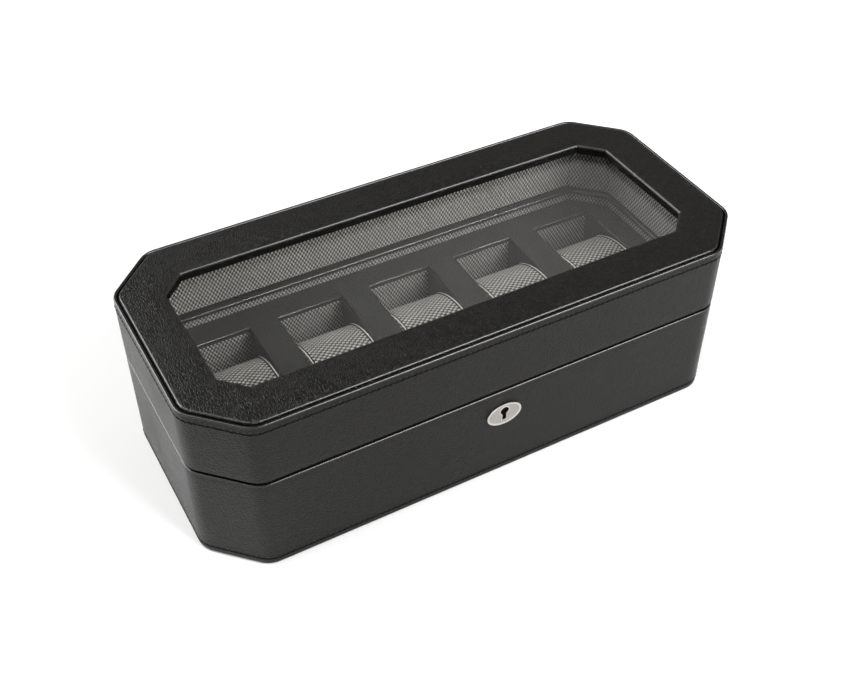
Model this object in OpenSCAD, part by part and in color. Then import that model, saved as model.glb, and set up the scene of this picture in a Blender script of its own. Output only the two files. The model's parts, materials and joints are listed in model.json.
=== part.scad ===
// Five-place watch box: an eight-sided leather-covered case with a hinged, glazed lid,
// a sunk tray with five crowned watch cushions, and a small link-plate lock.
// Frame: origin under the middle of the case, +X along its length, -Y towards the lock, +Z up.
// All sizes are in millimetres. The lid is shut, the bolt is drawn back and the cushions are in.

/* [Case] */
// Length of the closed case, along X
box_l = 362; // [300:1:440]
// Depth of the closed case, along Y
box_w = 166; // [160:1:220]
// Height of the closed case
box_h = 114; // [108:0.5:150]
// Leg of the slanted corners, seen from above
chamfer = 30; // [22:0.5:36]
// Radius of the eight upright edges
corner_r = 15; // [6:0.5:20]
// Height of the seam between base and lid
seam_z = 69.2; // [66:0.1:80]
// Gap between the rim of the base and the rim of the lid
seam_gap = 0.4; // [0.2:0.1:1]

/* [Walls and covers] */
// Thickness of the leather wrapped round the walls
leather_t = 1.2; // [0.8:0.1:2]
// Thickness of the boards' lining cloth
lining_t = 1.0; // [0.6:0.1:1.5]
// Thickness of the leather strips on both rims
rim_t = 1.0; // [0.6:0.1:1.6]
// Whole thickness of the base's end walls, leather to lining
base_end_wall = 16.7; // [12:0.1:20]
// Whole thickness of the base's front and back walls
base_side_wall = 19.4; // [17:0.1:22]
// Whole thickness of the base's slanted corner walls
base_corner_wall = 18; // [14:0.1:21]
// Whole thickness of every wall of the lid
lid_wall = 15; // [14:0.1:18]
// Thickness of the bottom board
bottom_t = 5; // [3:0.5:8]
// Thickness of the felt sheet under the base
felt_t = 1; // [0.5:0.1:2]
// Distance from the felt's edge to the outside of the case
felt_inset = 4; // [2:0.5:10]

/* [Lid top] */
// Width of the lid's top border at its ends
border_end = 28; // [24:0.5:40]
// Width of the lid's top border at front and back
border_side = 30; // [26:0.5:40]
// Width of the lid's top border across the slanted corners
border_corner = 29.5; // [26:0.5:40]
// Thickness of the board that frames the window
top_board_t = 3.7; // [3:0.1:6]
// Thickness of the padded leather panel on the lid
top_pad_t = 2.8; // [2:0.1:5]
// Distance from the padded panel's edge to the outside of the case
top_pad_inset = 2.2; // [1.8:0.1:4]
// How far the side leather stands above the framing board
wrap_lip = 1.4; // [0.5:0.1:2]
// Thickness of the window glass
glass_t = 2.5; // [2:0.1:4]
// How far the glass runs under the framing board
glass_lap = 9; // [6:0.5:12]
// How much of the glass's edge the retaining frame covers
retainer_lap = 3.5; // [2:0.5:6]
// Thickness of the retaining frame under the glass
retainer_t = 2.4; // [1.5:0.1:4]

/* [Tray] */
// Depth of the tray's top below the rim of the base
tray_drop = 8.4; // [4:0.1:12]
// Thickness of the tray's top panel
panel_t = 3; // [2:0.1:4]
// Thickness of the tray's floor
floor_t = 4; // [2:0.5:6]
// Width of the tray's band beyond the outer places
end_band = 16.3; // [8:0.1:24]
// Width of one place, along X
place_w = 43.9; // [40:0.1:50]
// Depth of one place, along Y
place_d = 91.3; // [80:0.1:100]

/* [Cushions] */
// Side clearance between a cushion and its place
cushion_gap = 1.2; // [0.5:0.1:3]
// Height of a cushion
cushion_h = 50; // [40:0.5:60]
// Radius of a cushion's crown
crown_r = 49; // [45:0.5:60]
// Radius of a cushion's rounded front and back
cushion_nose_r = 20; // [12:0.5:22]
// Thickness of a cushion's fabric cover
cover_t = 1.5; // [1:0.1:3]
// Gap between a cushion and the tray's floor
cushion_rest_gap = 0.3; // [0.2:0.05:1]

/* [Lock] */
// Height of the keyhole plate's middle
lock_z = 49.5; // [44:0.5:52]
// Sideways place of the lock
lock_x = 1.5; // [-20:0.5:20]
// Length of the oval keyhole plate
plate_l = 23.4; // [20:0.1:28]
// Height of the oval keyhole plate
plate_h = 16.2; // [14:0.1:20]
// How far the keyhole plate stands out
plate_t = 1; // [0.6:0.1:1.5]
// Radius of the keyhole's round part
key_r = 2.75; // [2:0.05:3]
// Height of the lock's case
case_h = 27.5; // [25:0.5:32]
// Wall of the lock's case
case_wall = 1; // [0.8:0.1:1.5]
// How far the bolt slides
bolt_travel = 4.5; // [4:0.1:5]

/* [Hinges] */
// Distance from the middle of the case to the middle of each hinge
hinge_x = 110; // [60:1:130]
// Length of one knuckle
knuckle_l = 8; // [6:0.5:10]
// Distance of the hinge axis behind the back of the case
hinge_out = 1.6; // [1.2:0.1:3]
// Outside radius of a knuckle
barrel_r = 2.4; // [2.2:0.1:3]
// Radius of the hinge pin
pin_r = 1.2; // [1:0.05:1.4]
// Running clearance round the hinge pin
pin_gap = 0.05; // [0.02:0.01:0.1]
// Width of a hinge leaf, from the axis inwards
leaf_w = 15; // [12:0.5:16]
// Thickness of hinge leaves and lock plates
leaf_t = 1.2; // [1:0.1:1.6]

/* [Hidden] */
$fn = 64;

places = 5;
half_l = box_l / 2;
half_w = box_w / 2;
slant = 2 - sqrt(2);
eps = 0.01;
over = 1;

// Heights
board_z = felt_t + bottom_t;
base_top = seam_z - seam_gap / 2;
lid_bottom = seam_z + seam_gap / 2;
base_board_top = base_top - rim_t;
lid_board_bottom = lid_bottom + rim_t;
pad_z = box_h - top_pad_t;
glass_top = pad_z - top_board_t;
glass_z = glass_top - glass_t;
floor_top = board_z + floor_t;
panel_top = base_top - tray_drop;
panel_z = panel_top - panel_t;

// Inside of the base and its places
well_l = half_l - base_end_wall;
well_w = half_w - base_side_wall;
well_leg = inner_leg(base_end_wall, base_side_wall, base_corner_wall);
well_r = 1.5;
pitch = (2 * (well_l - end_band) - place_w) / (places - 1);
row_half = pitch * (places - 1) / 2 + place_w / 2;
rail_y = place_d / 2 + lining_t;

// Window
window_l = half_l - border_end;
window_w = half_w - border_side;
window_leg = inner_leg(border_end, border_side, border_corner);
window_r = 2;
hug = 0.1;

// Cushions
cushion_w = place_w - 2 * cushion_gap;
cushion_z = floor_top + cushion_rest_gap + cushion_h / 2;

// Screws
screw_r = 1;
screw_head_r = 2;
screw_l = 9;

// Hinges
knuckles = 5;
knuckle_gap = 0.3;
axis_y = half_w + hinge_out;
leaf_l = knuckles * knuckle_l + (knuckles - 1) * knuckle_gap;
swing_gap = 0.4;
pin_head_r = 1.9;
pin_head_t = 0.8;
leaf_screw_y = axis_y - 9.5;
leaf_screw_pitch = 14;

// Lock
case_cover = 4;
cover_rim = 1;
case_d = lid_wall - lining_t - case_cover - cover_rim;
case_y = -half_w + case_cover + case_d / 2;
case_top = base_board_top;
bore_z = lock_z + 2.6;
key_neck = 1.18;
key_foot = 1.45;
key_drop = 7.05;
plate_pin_r = 0.6;
plate_pin_l = 3.5;
plate_pin_x = plate_l / 2 - 3;
prong_x = 9;
prong_t = 2;
prong_leg = 1.2;
prong_d = case_d - 2 * case_wall - 1;
prong_bottom = seam_z - 8;
prong_bar = 1.7;
prong_window_top = seam_z - 2.8;
slot_gap = 0.6;
bolt_bar_top = prong_bottom - 0.7;
bolt_bar_h = 5;
tongue_d = prong_d - 2 * prong_leg - 1;
tongue_z = prong_bottom + prong_bar + 0.4;
tongue_h = 2.7;
tongue_gap = 0.5;
tongue_l = bolt_travel + 0.3;
upright_w = 2.2;
bolt_left = prong_x + prong_t / 2 + tongue_gap + tongue_l + upright_w;
case_in_l = 2 * (bolt_left + 1);
case_l = case_in_l + 2 * case_wall;
case_in_d = case_d - 2 * case_wall;
bolt_right = case_in_l / 2 - bolt_travel - 2;
bolt_bar_d = case_in_d - 0.4;
cover_l = case_l + 11;
cover_d = case_d + 2 * cover_rim;
lock_screw_x = cover_l / 2 - 3;
talon_w = 5;
talon_h = 3;
post_r = 1;
stud_r = 1.2;
stud_x = 12;
stud_gap = 0.05;
spring_t = 0.35;
spring_w = 4;
spring_x = -3.5;
spring_half = 3;
spring_gap = 0.15;

// Leg of an inner octagon whose walls have the three given thicknesses
function inner_leg(end_wall, side_wall, corner_wall) =
    chamfer - end_wall - side_wall + sqrt(2) * corner_wall;

// Corners of an octagon with half length l, half depth w and corner leg c
function octagon(l, w, c) = [
    [l - c, -w], [l, c - w], [l, w - c], [l - c, w],
    [c - l, w], [-l, w - c], [-l, c - w], [c - l, -w]];

// Point i of octagon a, pushed outwards along the mitre that runs in to octagon b
function mitre_out(a, b, i) = a[i % 8] + (a[i % 8] - b[i % 8]) / 2;

// Flat octagon with rounded corners
module octagon_2d(l, w, c, r) {
    middles = octagon(l - r, w - r, c - slant * r);
    polygon([for (i = [0:7]) for (k = [0, 1])
        middles[i] + r * [cos(45 * (i + k) - 90), sin(45 * (i + k) - 90)]]);
    for (m = middles)
        translate(m) circle(r);
}

// The outside of the case, moved in by the given amount
module outline(inset) {
    octagon_2d(half_l - inset, half_w - inset, chamfer - slant * inset,
        max(corner_r - inset, well_r));
}

// The inside of the base, moved out by the given amount
module well_outline(grow) {
    octagon_2d(well_l + grow, well_w + grow, well_leg + slant * grow, well_r);
}

// The window's opening, moved out by the given amount
module window_outline(grow) {
    octagon_2d(window_l + grow, window_w + grow, window_leg + slant * grow, window_r + grow);
}

// Wall board number k between the leather and an inner octagon
module wall_board(k, inner, z0, z1) {
    a = octagon(half_l - leather_t, half_w - leather_t, chamfer - slant * leather_t);
    translate([0, 0, z0]) linear_extrude(z1 - z0) intersection() {
        outline(leather_t);
        polygon([mitre_out(a, inner, k), mitre_out(a, inner, k + 1),
            inner[(k + 1) % 8], inner[k % 8]]);
    }
}

module base_board(k) {
    inner = octagon(well_l + lining_t, well_w + lining_t, well_leg + slant * lining_t);
    wall_board(k, inner, board_z, base_board_top);
}

module lid_board(k) {
    t = lid_wall - lining_t;
    inner = octagon(half_l - t, half_w - t, chamfer - slant * t);
    wall_board(k, inner, lid_board_bottom, glass_top);
}

// Countersunk screw with its head's face at z = 0 and its shank running down
module screw() {
    translate([0, 0, -leaf_t]) cylinder(h = leaf_t, r1 = screw_r, r2 = screw_head_r);
    translate([0, 0, -screw_l]) cylinder(h = screw_l - leaf_t + eps, r = screw_r);
}

// Keyhole outline, with its round part at the origin
module keyhole_2d() {
    circle(key_r);
    polygon([[-key_neck, 0], [key_neck, 0], [key_foot, -key_drop], [-key_foot, -key_drop]]);
}

// Keyhole cut along Y between two depths
module keyhole_cut(y0, y1) {
    translate([lock_x, y1, bore_z]) rotate([90, 0, 0]) linear_extrude(y1 - y0) keyhole_2d();
}

// Places the screws of both hinges
module at_hinge_screws() {
    for (side = [-1, 1]) for (n = [-1, 0, 1])
        translate([side * hinge_x + n * leaf_screw_pitch, leaf_screw_y, 0]) children();
}

// Places the screws of the lock's cover and strike
module at_lock_screws() {
    for (side = [-1, 1])
        translate([lock_x + side * lock_screw_x, case_y, 0]) children();
}

// Room for both hinges' barrels in the covers and boards
module barrel_room() {
    for (side = [-1, 1])
        translate([side * hinge_x, axis_y, seam_z]) rotate([0, 90, 0])
            cylinder(h = leaf_l + 2 * pin_head_t + 2 * swing_gap, r = barrel_r + swing_gap,
                center = true);
}

// Pockets for one leaf of each hinge between two heights
module leaf_room(z0, z1) {
    for (side = [-1, 1])
        translate([side * hinge_x - leaf_l / 2 - hug, axis_y - leaf_w - hug, z0])
            cube([leaf_l + 2 * hug, leaf_w + 2 * hug, z1 - z0]);
}

// Pocket for the lock's cover or strike between two heights
module cover_room(z0, z1) {
    translate([lock_x - cover_l / 2, case_y - cover_d / 2, z0])
        cube([cover_l, cover_d, z1 - z0]);
}

module case_block(l, d, z0, z1) {
    translate([lock_x - l / 2, case_y - d / 2, z0]) cube([l, d, z1 - z0]);
}

// Base

module base_bottom_board() {
    color("peru") translate([0, 0, felt_t]) linear_extrude(bottom_t) outline(leather_t);
}

module base_front_board() {
    color("peru") difference() {
        base_board(7);
        case_block(case_l, case_d, case_top - case_h, case_top + over);
        cover_room(base_top - leaf_t, base_top + over);
        keyhole_cut(-half_w, case_y);
        at_lock_screws() translate([0, 0, base_top]) screw();
        keyhole_plate_pins();
    }
}

module base_back_board() {
    color("peru") difference() {
        base_board(3);
        barrel_room();
        leaf_room(base_top - leaf_t, base_top + over);
        at_hinge_screws() translate([0, 0, base_top]) screw();
    }
}

module base_left_board() {
    color("peru") base_board(5);
}

module base_right_board() {
    color("peru") base_board(1);
}

module base_corner_boards() {
    color("peru") for (k = [0, 2, 4, 6]) base_board(k);
}

module base_leather_wrap() {
    color([0.17, 0.17, 0.16]) difference() {
        translate([0, 0, felt_t]) linear_extrude(base_top - felt_t) difference() {
            outline(0);
            outline(leather_t);
        }
        barrel_room();
        leaf_room(base_top - leaf_t, base_top + over);
        keyhole_cut(-half_w - over, -half_w + leather_t + over);
        keyhole_plate_pins();
    }
}

module underside_felt() {
    color([0.12, 0.12, 0.12]) linear_extrude(felt_t) outline(felt_inset);
}

module base_rim_trim() {
    color([0.2, 0.2, 0.19]) difference() {
        translate([0, 0, base_board_top]) linear_extrude(rim_t) difference() {
            outline(leather_t);
            well_outline(0);
        }
        barrel_room();
        leaf_room(base_top - leaf_t, base_top + over);
        cover_room(base_top - leaf_t, base_top + over);
    }
}

module base_well_lining() {
    color([0.42, 0.41, 0.39]) translate([0, 0, floor_top])
        linear_extrude(base_board_top - floor_top) difference() {
            well_outline(lining_t);
            well_outline(0);
        }
}

// Tray

module tray_floor() {
    color([0.24, 0.24, 0.22]) translate([0, 0, board_z]) linear_extrude(floor_t)
        well_outline(lining_t);
}

module tray_top_panel() {
    color([0.24, 0.24, 0.22]) translate([0, 0, panel_z]) linear_extrude(panel_t)
        difference() {
            well_outline(0);
            for (i = [1:places])
                translate([place_x(i), 0]) square([place_w, place_d], center = true);
        }
}

function place_x(i) = (i - (places + 1) / 2) * pitch;

module tray_divider(i) {
    x0 = place_x(i) + place_w / 2;
    color([0.24, 0.24, 0.22]) translate([x0, -rail_y, floor_top])
        cube([pitch - place_w, 2 * rail_y, panel_z - floor_top]);
}

module tray_divider_1() tray_divider(1);
module tray_divider_2() tray_divider(2);
module tray_divider_3() tray_divider(3);
module tray_divider_4() tray_divider(4);

module tray_end_blocks() {
    color([0.24, 0.24, 0.22]) for (side = [-1, 1])
        translate([0, 0, floor_top]) linear_extrude(panel_z - floor_top) intersection() {
            well_outline(0);
            translate([side * (row_half + end_band), 0])
                square([2 * end_band, 2 * box_w], center = true);
        }
}

module tray_rail(side) {
    color([0.24, 0.24, 0.22]) translate([0, 0, floor_top])
        linear_extrude(panel_z - floor_top) intersection() {
            well_outline(0);
            translate([0, side * (rail_y + box_w / 2)]) square([2 * row_half, box_w], center = true);
        }
}

module tray_front_rail() tray_rail(-1);
module tray_back_rail() tray_rail(1);

module tray_wall_linings() {
    color([0.42, 0.41, 0.39]) for (i = [1:places]) for (side = [-1, 1])
        translate([place_x(i) - place_w / 2, side * (rail_y - lining_t / 2) - lining_t / 2,
            floor_top])
            cube([place_w, lining_t, panel_z - floor_top]);
}

// Lock

module keyhole_plate_pins() {
    for (side = [-1, 1])
        translate([lock_x + side * plate_pin_x, -half_w - eps, lock_z])
            rotate([-90, 0, 0]) cylinder(h = plate_pin_l, r = plate_pin_r);
}

module keyhole_plate() {
    color([0.75, 0.73, 0.7]) difference() {
        union() {
            translate([lock_x, -half_w, lock_z]) rotate([90, 0, 0]) linear_extrude(plate_t)
                polygon([for (a = [0:6:354]) [plate_l / 2 * cos(a), plate_h / 2 * sin(a)]]);
            keyhole_plate_pins();
        }
        keyhole_cut(-half_w - plate_t - over, -half_w + over);
    }
}

module lock_case() {
    color("silver") difference() {
        case_block(case_l, case_d, case_top - case_h, base_top - leaf_t);
        case_block(case_in_l, case_in_d, case_top - case_h + case_wall, base_top + over);
        keyhole_cut(case_y - case_d, case_y);
    }
    color("silver") for (side = [-1, 1])
        translate([lock_x + side * stud_x, case_y + case_in_d / 2 + eps,
            bolt_bar_top - bolt_bar_h - stud_r - stud_gap])
            rotate([90, 0, 0]) cylinder(h = case_in_d + 2 * eps, r = stud_r);
}

module lock_cover() {
    color("silver") difference() {
        cover_room(base_top - leaf_t, base_top);
        for (side = [-1, 1])
            translate([lock_x + side * prong_x - prong_t / 2 - slot_gap,
                case_y - prong_d / 2 - slot_gap, base_top - leaf_t - over])
                cube([prong_t + 2 * slot_gap, prong_d + 2 * slot_gap, leaf_t + 2 * over]);
        at_lock_screws() translate([0, 0, base_top]) screw();
    }
}

module lock_key_post() {
    color("silver") translate([lock_x, case_y + case_in_d / 2, bore_z]) rotate([90, 0, 0])
        cylinder(h = case_in_d, r = post_r);
}

module lock_spring() {
    top = base_top - leaf_t;
    low = bolt_bar_top + spring_gap;
    color("silver") translate([lock_x + spring_x, case_y + spring_w / 2, 0])
        rotate([90, 0, 0]) linear_extrude(spring_w)
            polygon([[-spring_half, top], [0, low], [spring_half, top],
                [spring_half - spring_t, top], [0, low + 2 * spring_t],
                [spring_t - spring_half, top]]);
}

module lock_screws() {
    color("silver") at_lock_screws() translate([0, 0, base_top]) screw();
}

// One hooked tongue of the bolt, placed for the prong at x
module bolt_tongue(x) {
    tip = x - prong_t / 2 - tongue_gap;
    translate([tip - tongue_l, -tongue_d / 2, tongue_z]) cube([tongue_l, tongue_d, tongue_h]);
    translate([tip - tongue_l - upright_w, -tongue_d / 2, bolt_bar_top - eps])
        cube([upright_w + eps, tongue_d, tongue_z + tongue_h - bolt_bar_top + eps]);
}

module lock_bolt() {
    color("goldenrod") translate([lock_x, case_y, 0]) {
        difference() {
            translate([-bolt_left, -bolt_bar_d / 2, bolt_bar_top - bolt_bar_h])
                cube([bolt_left + bolt_right, bolt_bar_d, bolt_bar_h]);
            translate([-talon_w / 2, -case_d, bolt_bar_top - bolt_bar_h - over])
                cube([talon_w, 2 * case_d, talon_h + over]);
        }
        bolt_tongue(-prong_x);
        bolt_tongue(prong_x);
    }
}

module lock_strike() {
    color("silver") difference() {
        cover_room(lid_bottom, lid_bottom + leaf_t);
        at_lock_screws() translate([0, 0, lid_bottom]) mirror([0, 0, 1]) screw();
    }
    color("silver") for (side = [-1, 1])
        translate([lock_x + side * prong_x - prong_t / 2, case_y, 0]) difference() {
            translate([0, -prong_d / 2, prong_bottom])
                cube([prong_t, prong_d, lid_bottom + eps - prong_bottom]);
            translate([-over, prong_leg - prong_d / 2, prong_bottom + prong_bar])
                cube([prong_t + 2 * over, prong_d - 2 * prong_leg,
                    prong_window_top - prong_bottom - prong_bar]);
        }
}

module strike_screws() {
    color("silver") at_lock_screws() translate([0, 0, lid_bottom]) mirror([0, 0, 1]) screw();
}

// Hinges

// One leaf: its plate lies between z0 and z1, and it carries the listed knuckles
module hinge_leaf(side, z0, z1, own) {
    color("silver") translate([side * hinge_x, 0, 0]) difference() {
        union() {
            translate([-leaf_l / 2, axis_y - leaf_w, z0])
                cube([leaf_l, leaf_w - barrel_r - swing_gap, z1 - z0]);
            for (n = own) {
                x0 = n * (knuckle_l + knuckle_gap) - leaf_l / 2;
                translate([x0, axis_y - leaf_w + eps, z0])
                    cube([knuckle_l, leaf_w - eps, z1 - z0]);
                translate([x0, axis_y, seam_z]) rotate([0, 90, 0])
                    cylinder(h = knuckle_l, r = barrel_r);
            }
        }
        translate([-leaf_l, axis_y, seam_z]) rotate([0, 90, 0])
            cylinder(h = 2 * leaf_l, r = pin_r + pin_gap);
        translate([-side * hinge_x, 0, 0]) at_hinge_screws() leaf_screw_hole(z0, z1);
    }
}

// Countersunk hole that opens towards the seam
module leaf_screw_hole(z0, z1) {
    if (z0 > seam_z)
        translate([0, 0, z0]) mirror([0, 0, 1]) screw();
    else
        translate([0, 0, z1]) screw();
}

module left_hinge_base_leaf() hinge_leaf(-1, base_top - leaf_t, base_top, [0, 2, 4]);
module right_hinge_base_leaf() hinge_leaf(1, base_top - leaf_t, base_top, [0, 2, 4]);
module left_hinge_lid_leaf() hinge_leaf(-1, lid_bottom, lid_bottom + leaf_t, [1, 3]);
module right_hinge_lid_leaf() hinge_leaf(1, lid_bottom, lid_bottom + leaf_t, [1, 3]);

module hinge_pins() {
    color("silver") for (side = [-1, 1])
        translate([side * hinge_x, axis_y, seam_z]) rotate([0, 90, 0]) {
            cylinder(h = leaf_l + 2 * pin_head_t, r = pin_r, center = true);
            for (end = [-1, 1])
                translate([0, 0, end * (leaf_l + pin_head_t) / 2])
                    cylinder(h = pin_head_t, r = pin_head_r, center = true);
        }
}

module hinge_base_screws() {
    color("silver") at_hinge_screws() translate([0, 0, base_top]) screw();
}

module hinge_lid_screws() {
    color("silver") at_hinge_screws() translate([0, 0, lid_bottom]) mirror([0, 0, 1]) screw();
}

// Lid

module lid_front_board() {
    color("peru") difference() {
        lid_board(7);
        cover_room(lid_bottom - over, lid_bottom + leaf_t);
        at_lock_screws() translate([0, 0, lid_bottom]) mirror([0, 0, 1]) screw();
    }
}

module lid_back_board() {
    color("peru") difference() {
        lid_board(3);
        barrel_room();
        leaf_room(lid_bottom - over, lid_bottom + leaf_t);
        at_hinge_screws() translate([0, 0, lid_bottom]) mirror([0, 0, 1]) screw();
    }
}

module lid_left_board() {
    color("peru") lid_board(5);
}

module lid_right_board() {
    color("peru") lid_board(1);
}

module lid_corner_boards() {
    color("peru") for (k = [0, 2, 4, 6]) lid_board(k);
}

module lid_top_board() {
    color("peru") translate([0, 0, glass_top]) linear_extrude(top_board_t) difference() {
        outline(leather_t);
        window_outline(leather_t);
    }
}

module lid_leather_wrap() {
    color([0.17, 0.17, 0.16]) difference() {
        translate([0, 0, lid_bottom]) linear_extrude(pad_z + wrap_lip - lid_bottom)
            difference() {
                outline(0);
                outline(leather_t);
            }
        barrel_room();
        leaf_room(lid_bottom - over, lid_bottom + leaf_t);
    }
}

module lid_top_leather() {
    color([0.15, 0.15, 0.14]) {
        translate([0, 0, pad_z]) linear_extrude(top_pad_t) difference() {
            outline(top_pad_inset);
            window_outline(0);
        }
        translate([0, 0, glass_top]) linear_extrude(top_board_t + eps) difference() {
            window_outline(leather_t);
            window_outline(0);
        }
    }
}

module window_glass() {
    color([0.8, 0.85, 0.85, 0.35]) translate([0, 0, glass_z]) linear_extrude(glass_t)
        window_outline(glass_lap);
}

module glass_retainer() {
    color([0.15, 0.15, 0.14]) translate([0, 0, glass_z - retainer_t])
        linear_extrude(retainer_t) difference() {
            outline(lid_wall);
            window_outline(glass_lap - retainer_lap);
        }
}

module lid_lining() {
    color([0.42, 0.41, 0.39]) translate([0, 0, lid_board_bottom])
        linear_extrude(glass_top - lid_board_bottom) difference() {
            outline(lid_wall - lining_t);
            outline(lid_wall);
        }
}

module lid_rim_trim() {
    color([0.2, 0.2, 0.19]) difference() {
        translate([0, 0, lid_bottom]) linear_extrude(rim_t) difference() {
            outline(leather_t);
            outline(lid_wall);
        }
        barrel_room();
        leaf_room(lid_bottom - over, lid_bottom + leaf_t);
        cover_room(lid_bottom - over, lid_bottom + leaf_t);
    }
}

// Cushions

// Crowned oval section, moved in by the given amount
module cushion_2d(inset) {
    drop = crown_r - cushion_h / 2;
    reach = crown_r - cushion_nose_r;
    nose_y = sqrt(reach * reach - drop * drop);
    intersection() {
        translate([0, -drop]) circle(crown_r - inset, $fn = 128);
        translate([0, drop]) circle(crown_r - inset, $fn = 128);
        square([2 * nose_y * (crown_r - inset) / reach, cushion_h], center = true);
    }
    for (side = [-1, 1])
        translate([side * nose_y, 0]) circle(cushion_nose_r - inset);
}

module cushion_block(i, inset) {
    translate([place_x(i) - cushion_w / 2 + inset, 0, cushion_z]) rotate([90, 0, 90])
        linear_extrude(cushion_w - 2 * inset) cushion_2d(inset);
}

module cushion_cover(i) {
    color([0.5, 0.48, 0.46]) difference() {
        cushion_block(i, 0);
        cushion_block(i, cover_t);
    }
}

module cushion_core(i) {
    color("khaki") cushion_block(i, cover_t);
}

module cushion_1_cover() cushion_cover(1);
module cushion_2_cover() cushion_cover(2);
module cushion_3_cover() cushion_cover(3);
module cushion_4_cover() cushion_cover(4);
module cushion_5_cover() cushion_cover(5);
module cushion_1_core() cushion_core(1);
module cushion_2_core() cushion_core(2);
module cushion_3_core() cushion_core(3);
module cushion_4_core() cushion_core(4);
module cushion_5_core() cushion_core(5);

base_bottom_board();
base_front_board();
base_back_board();
base_left_board();
base_right_board();
base_corner_boards();
base_leather_wrap();
underside_felt();
base_rim_trim();
base_well_lining();
tray_floor();
tray_top_panel();
tray_divider_1();
tray_divider_2();
tray_divider_3();
tray_divider_4();
tray_end_blocks();
tray_front_rail();
tray_back_rail();
tray_wall_linings();
keyhole_plate();
lock_case();
lock_cover();
lock_key_post();
lock_spring();
lock_screws();
left_hinge_base_leaf();
right_hinge_base_leaf();
hinge_pins();
hinge_base_screws();
lock_bolt();
lid_front_board();
lid_back_board();
lid_left_board();
lid_right_board();
lid_corner_boards();
lid_top_board();
lid_leather_wrap();
lid_top_leather();
window_glass();
glass_retainer();
lid_lining();
lid_rim_trim();
lock_strike();
strike_screws();
left_hinge_lid_leaf();
right_hinge_lid_leaf();
hinge_lid_screws();
cushion_1_cover();
cushion_2_cover();
cushion_3_cover();
cushion_4_cover();
cushion_5_cover();
cushion_1_core();
cushion_2_core();
cushion_3_core();
cushion_4_core();
cushion_5_core();
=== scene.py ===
"""Watch box: leather covers, cloth linings, cushions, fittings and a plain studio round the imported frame."""

import json
import math
import random

import bmesh
import bpy
from bpy.props import FloatProperty, FloatVectorProperty, IntProperty, PointerProperty
from bpy.types import Operator, Panel, PropertyGroup
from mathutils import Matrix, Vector, noise


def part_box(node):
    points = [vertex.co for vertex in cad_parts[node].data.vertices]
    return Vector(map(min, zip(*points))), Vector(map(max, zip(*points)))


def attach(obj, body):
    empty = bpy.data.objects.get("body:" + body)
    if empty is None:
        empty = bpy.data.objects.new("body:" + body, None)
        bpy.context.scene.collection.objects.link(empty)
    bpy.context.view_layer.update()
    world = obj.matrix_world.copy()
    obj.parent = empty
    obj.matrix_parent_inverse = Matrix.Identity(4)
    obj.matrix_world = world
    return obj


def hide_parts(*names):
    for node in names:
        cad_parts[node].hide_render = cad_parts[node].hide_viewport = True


bl_info = {
    "name": "Watch box",
    "version": (1, 0, 0),
    "blender": (4, 5, 0),
    "location": "View3D > Sidebar > Watch box",
    "description": "Builds the covers, linings, cushions, fittings and studio of a five-place watch box",
    "category": "Object",
}

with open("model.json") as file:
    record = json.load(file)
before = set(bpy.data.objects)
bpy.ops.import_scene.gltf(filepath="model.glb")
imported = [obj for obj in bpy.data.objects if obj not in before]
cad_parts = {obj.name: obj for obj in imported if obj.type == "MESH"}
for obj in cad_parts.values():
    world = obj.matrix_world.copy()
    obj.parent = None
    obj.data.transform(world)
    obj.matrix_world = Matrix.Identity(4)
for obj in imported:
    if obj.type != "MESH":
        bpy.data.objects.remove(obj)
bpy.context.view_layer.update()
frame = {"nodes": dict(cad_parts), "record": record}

MM = 0.001
SLANT = 2 - math.sqrt(2)  # how much a slanted corner's leg shrinks for each unit that an octagon moves in
ARC_STEPS = 6
STRAIGHT_STEP = 5 * MM
PLACES = 5
PLACE_NUMBERS = range(1, PLACES + 1)

HAIR = 0.02 * MM  # a gap too thin to see
LEAF_ROOM = 1.2 * MM  # depth of the recess for a hinge leaf
OVER = 5 * MM  # how far a cutter reaches past what it cuts
PAD_HEIGHT = 2.8 * MM  # height of the padded border above the boards
CUT_ANGLE = math.radians(40)  # edges sharper than this stay crisp
END_FACE = 0.7  # a face whose normal's x passes this lies on a cushion's flat end
CLOTH_FRAMES = 20
FIELD_RING = 7  # the ring of faces that makes the keyhole plate's satin field

CASE_LOW, CASE_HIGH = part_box("base_leather_wrap")
LID_LOW, LID_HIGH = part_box("lid_leather_wrap")
PAD_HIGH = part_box("lid_top_leather")[1]
GLASS_LOW, GLASS_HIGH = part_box("window_glass")
PANEL_LOW, PANEL_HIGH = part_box("tray_top_panel")
PLATE_LOW, PLATE_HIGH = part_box("keyhole_plate")
HALF_L, HALF_W = CASE_HIGH.x, CASE_HIGH.y
SEAM_LOW, SEAM_HIGH = CASE_HIGH.z, LID_LOW.z
WELL_L, WELL_W = PANEL_HIGH.x, PANEL_HIGH.y
FLOOR_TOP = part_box("tray_floor")[1].z


# Properties ---------------------------------------------------------------------------------


def length(name, text, value):
    return FloatProperty(name=name, description=text, default=value, min=0, unit="LENGTH", precision=5)


def ratio(name, text, value):
    return FloatProperty(name=name, description=text, default=value, min=0, max=1, subtype="FACTOR")


def amount(name, text, value):
    return FloatProperty(name=name, description=text, default=value, min=0)


def bearing(name, text, degrees):
    return FloatProperty(name=name, description=text, default=math.radians(degrees), subtype="ANGLE")


def colour(name, text, value):
    return FloatVectorProperty(name=name, description=text, default=value, size=3, min=0, max=1, subtype="COLOR")


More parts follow.
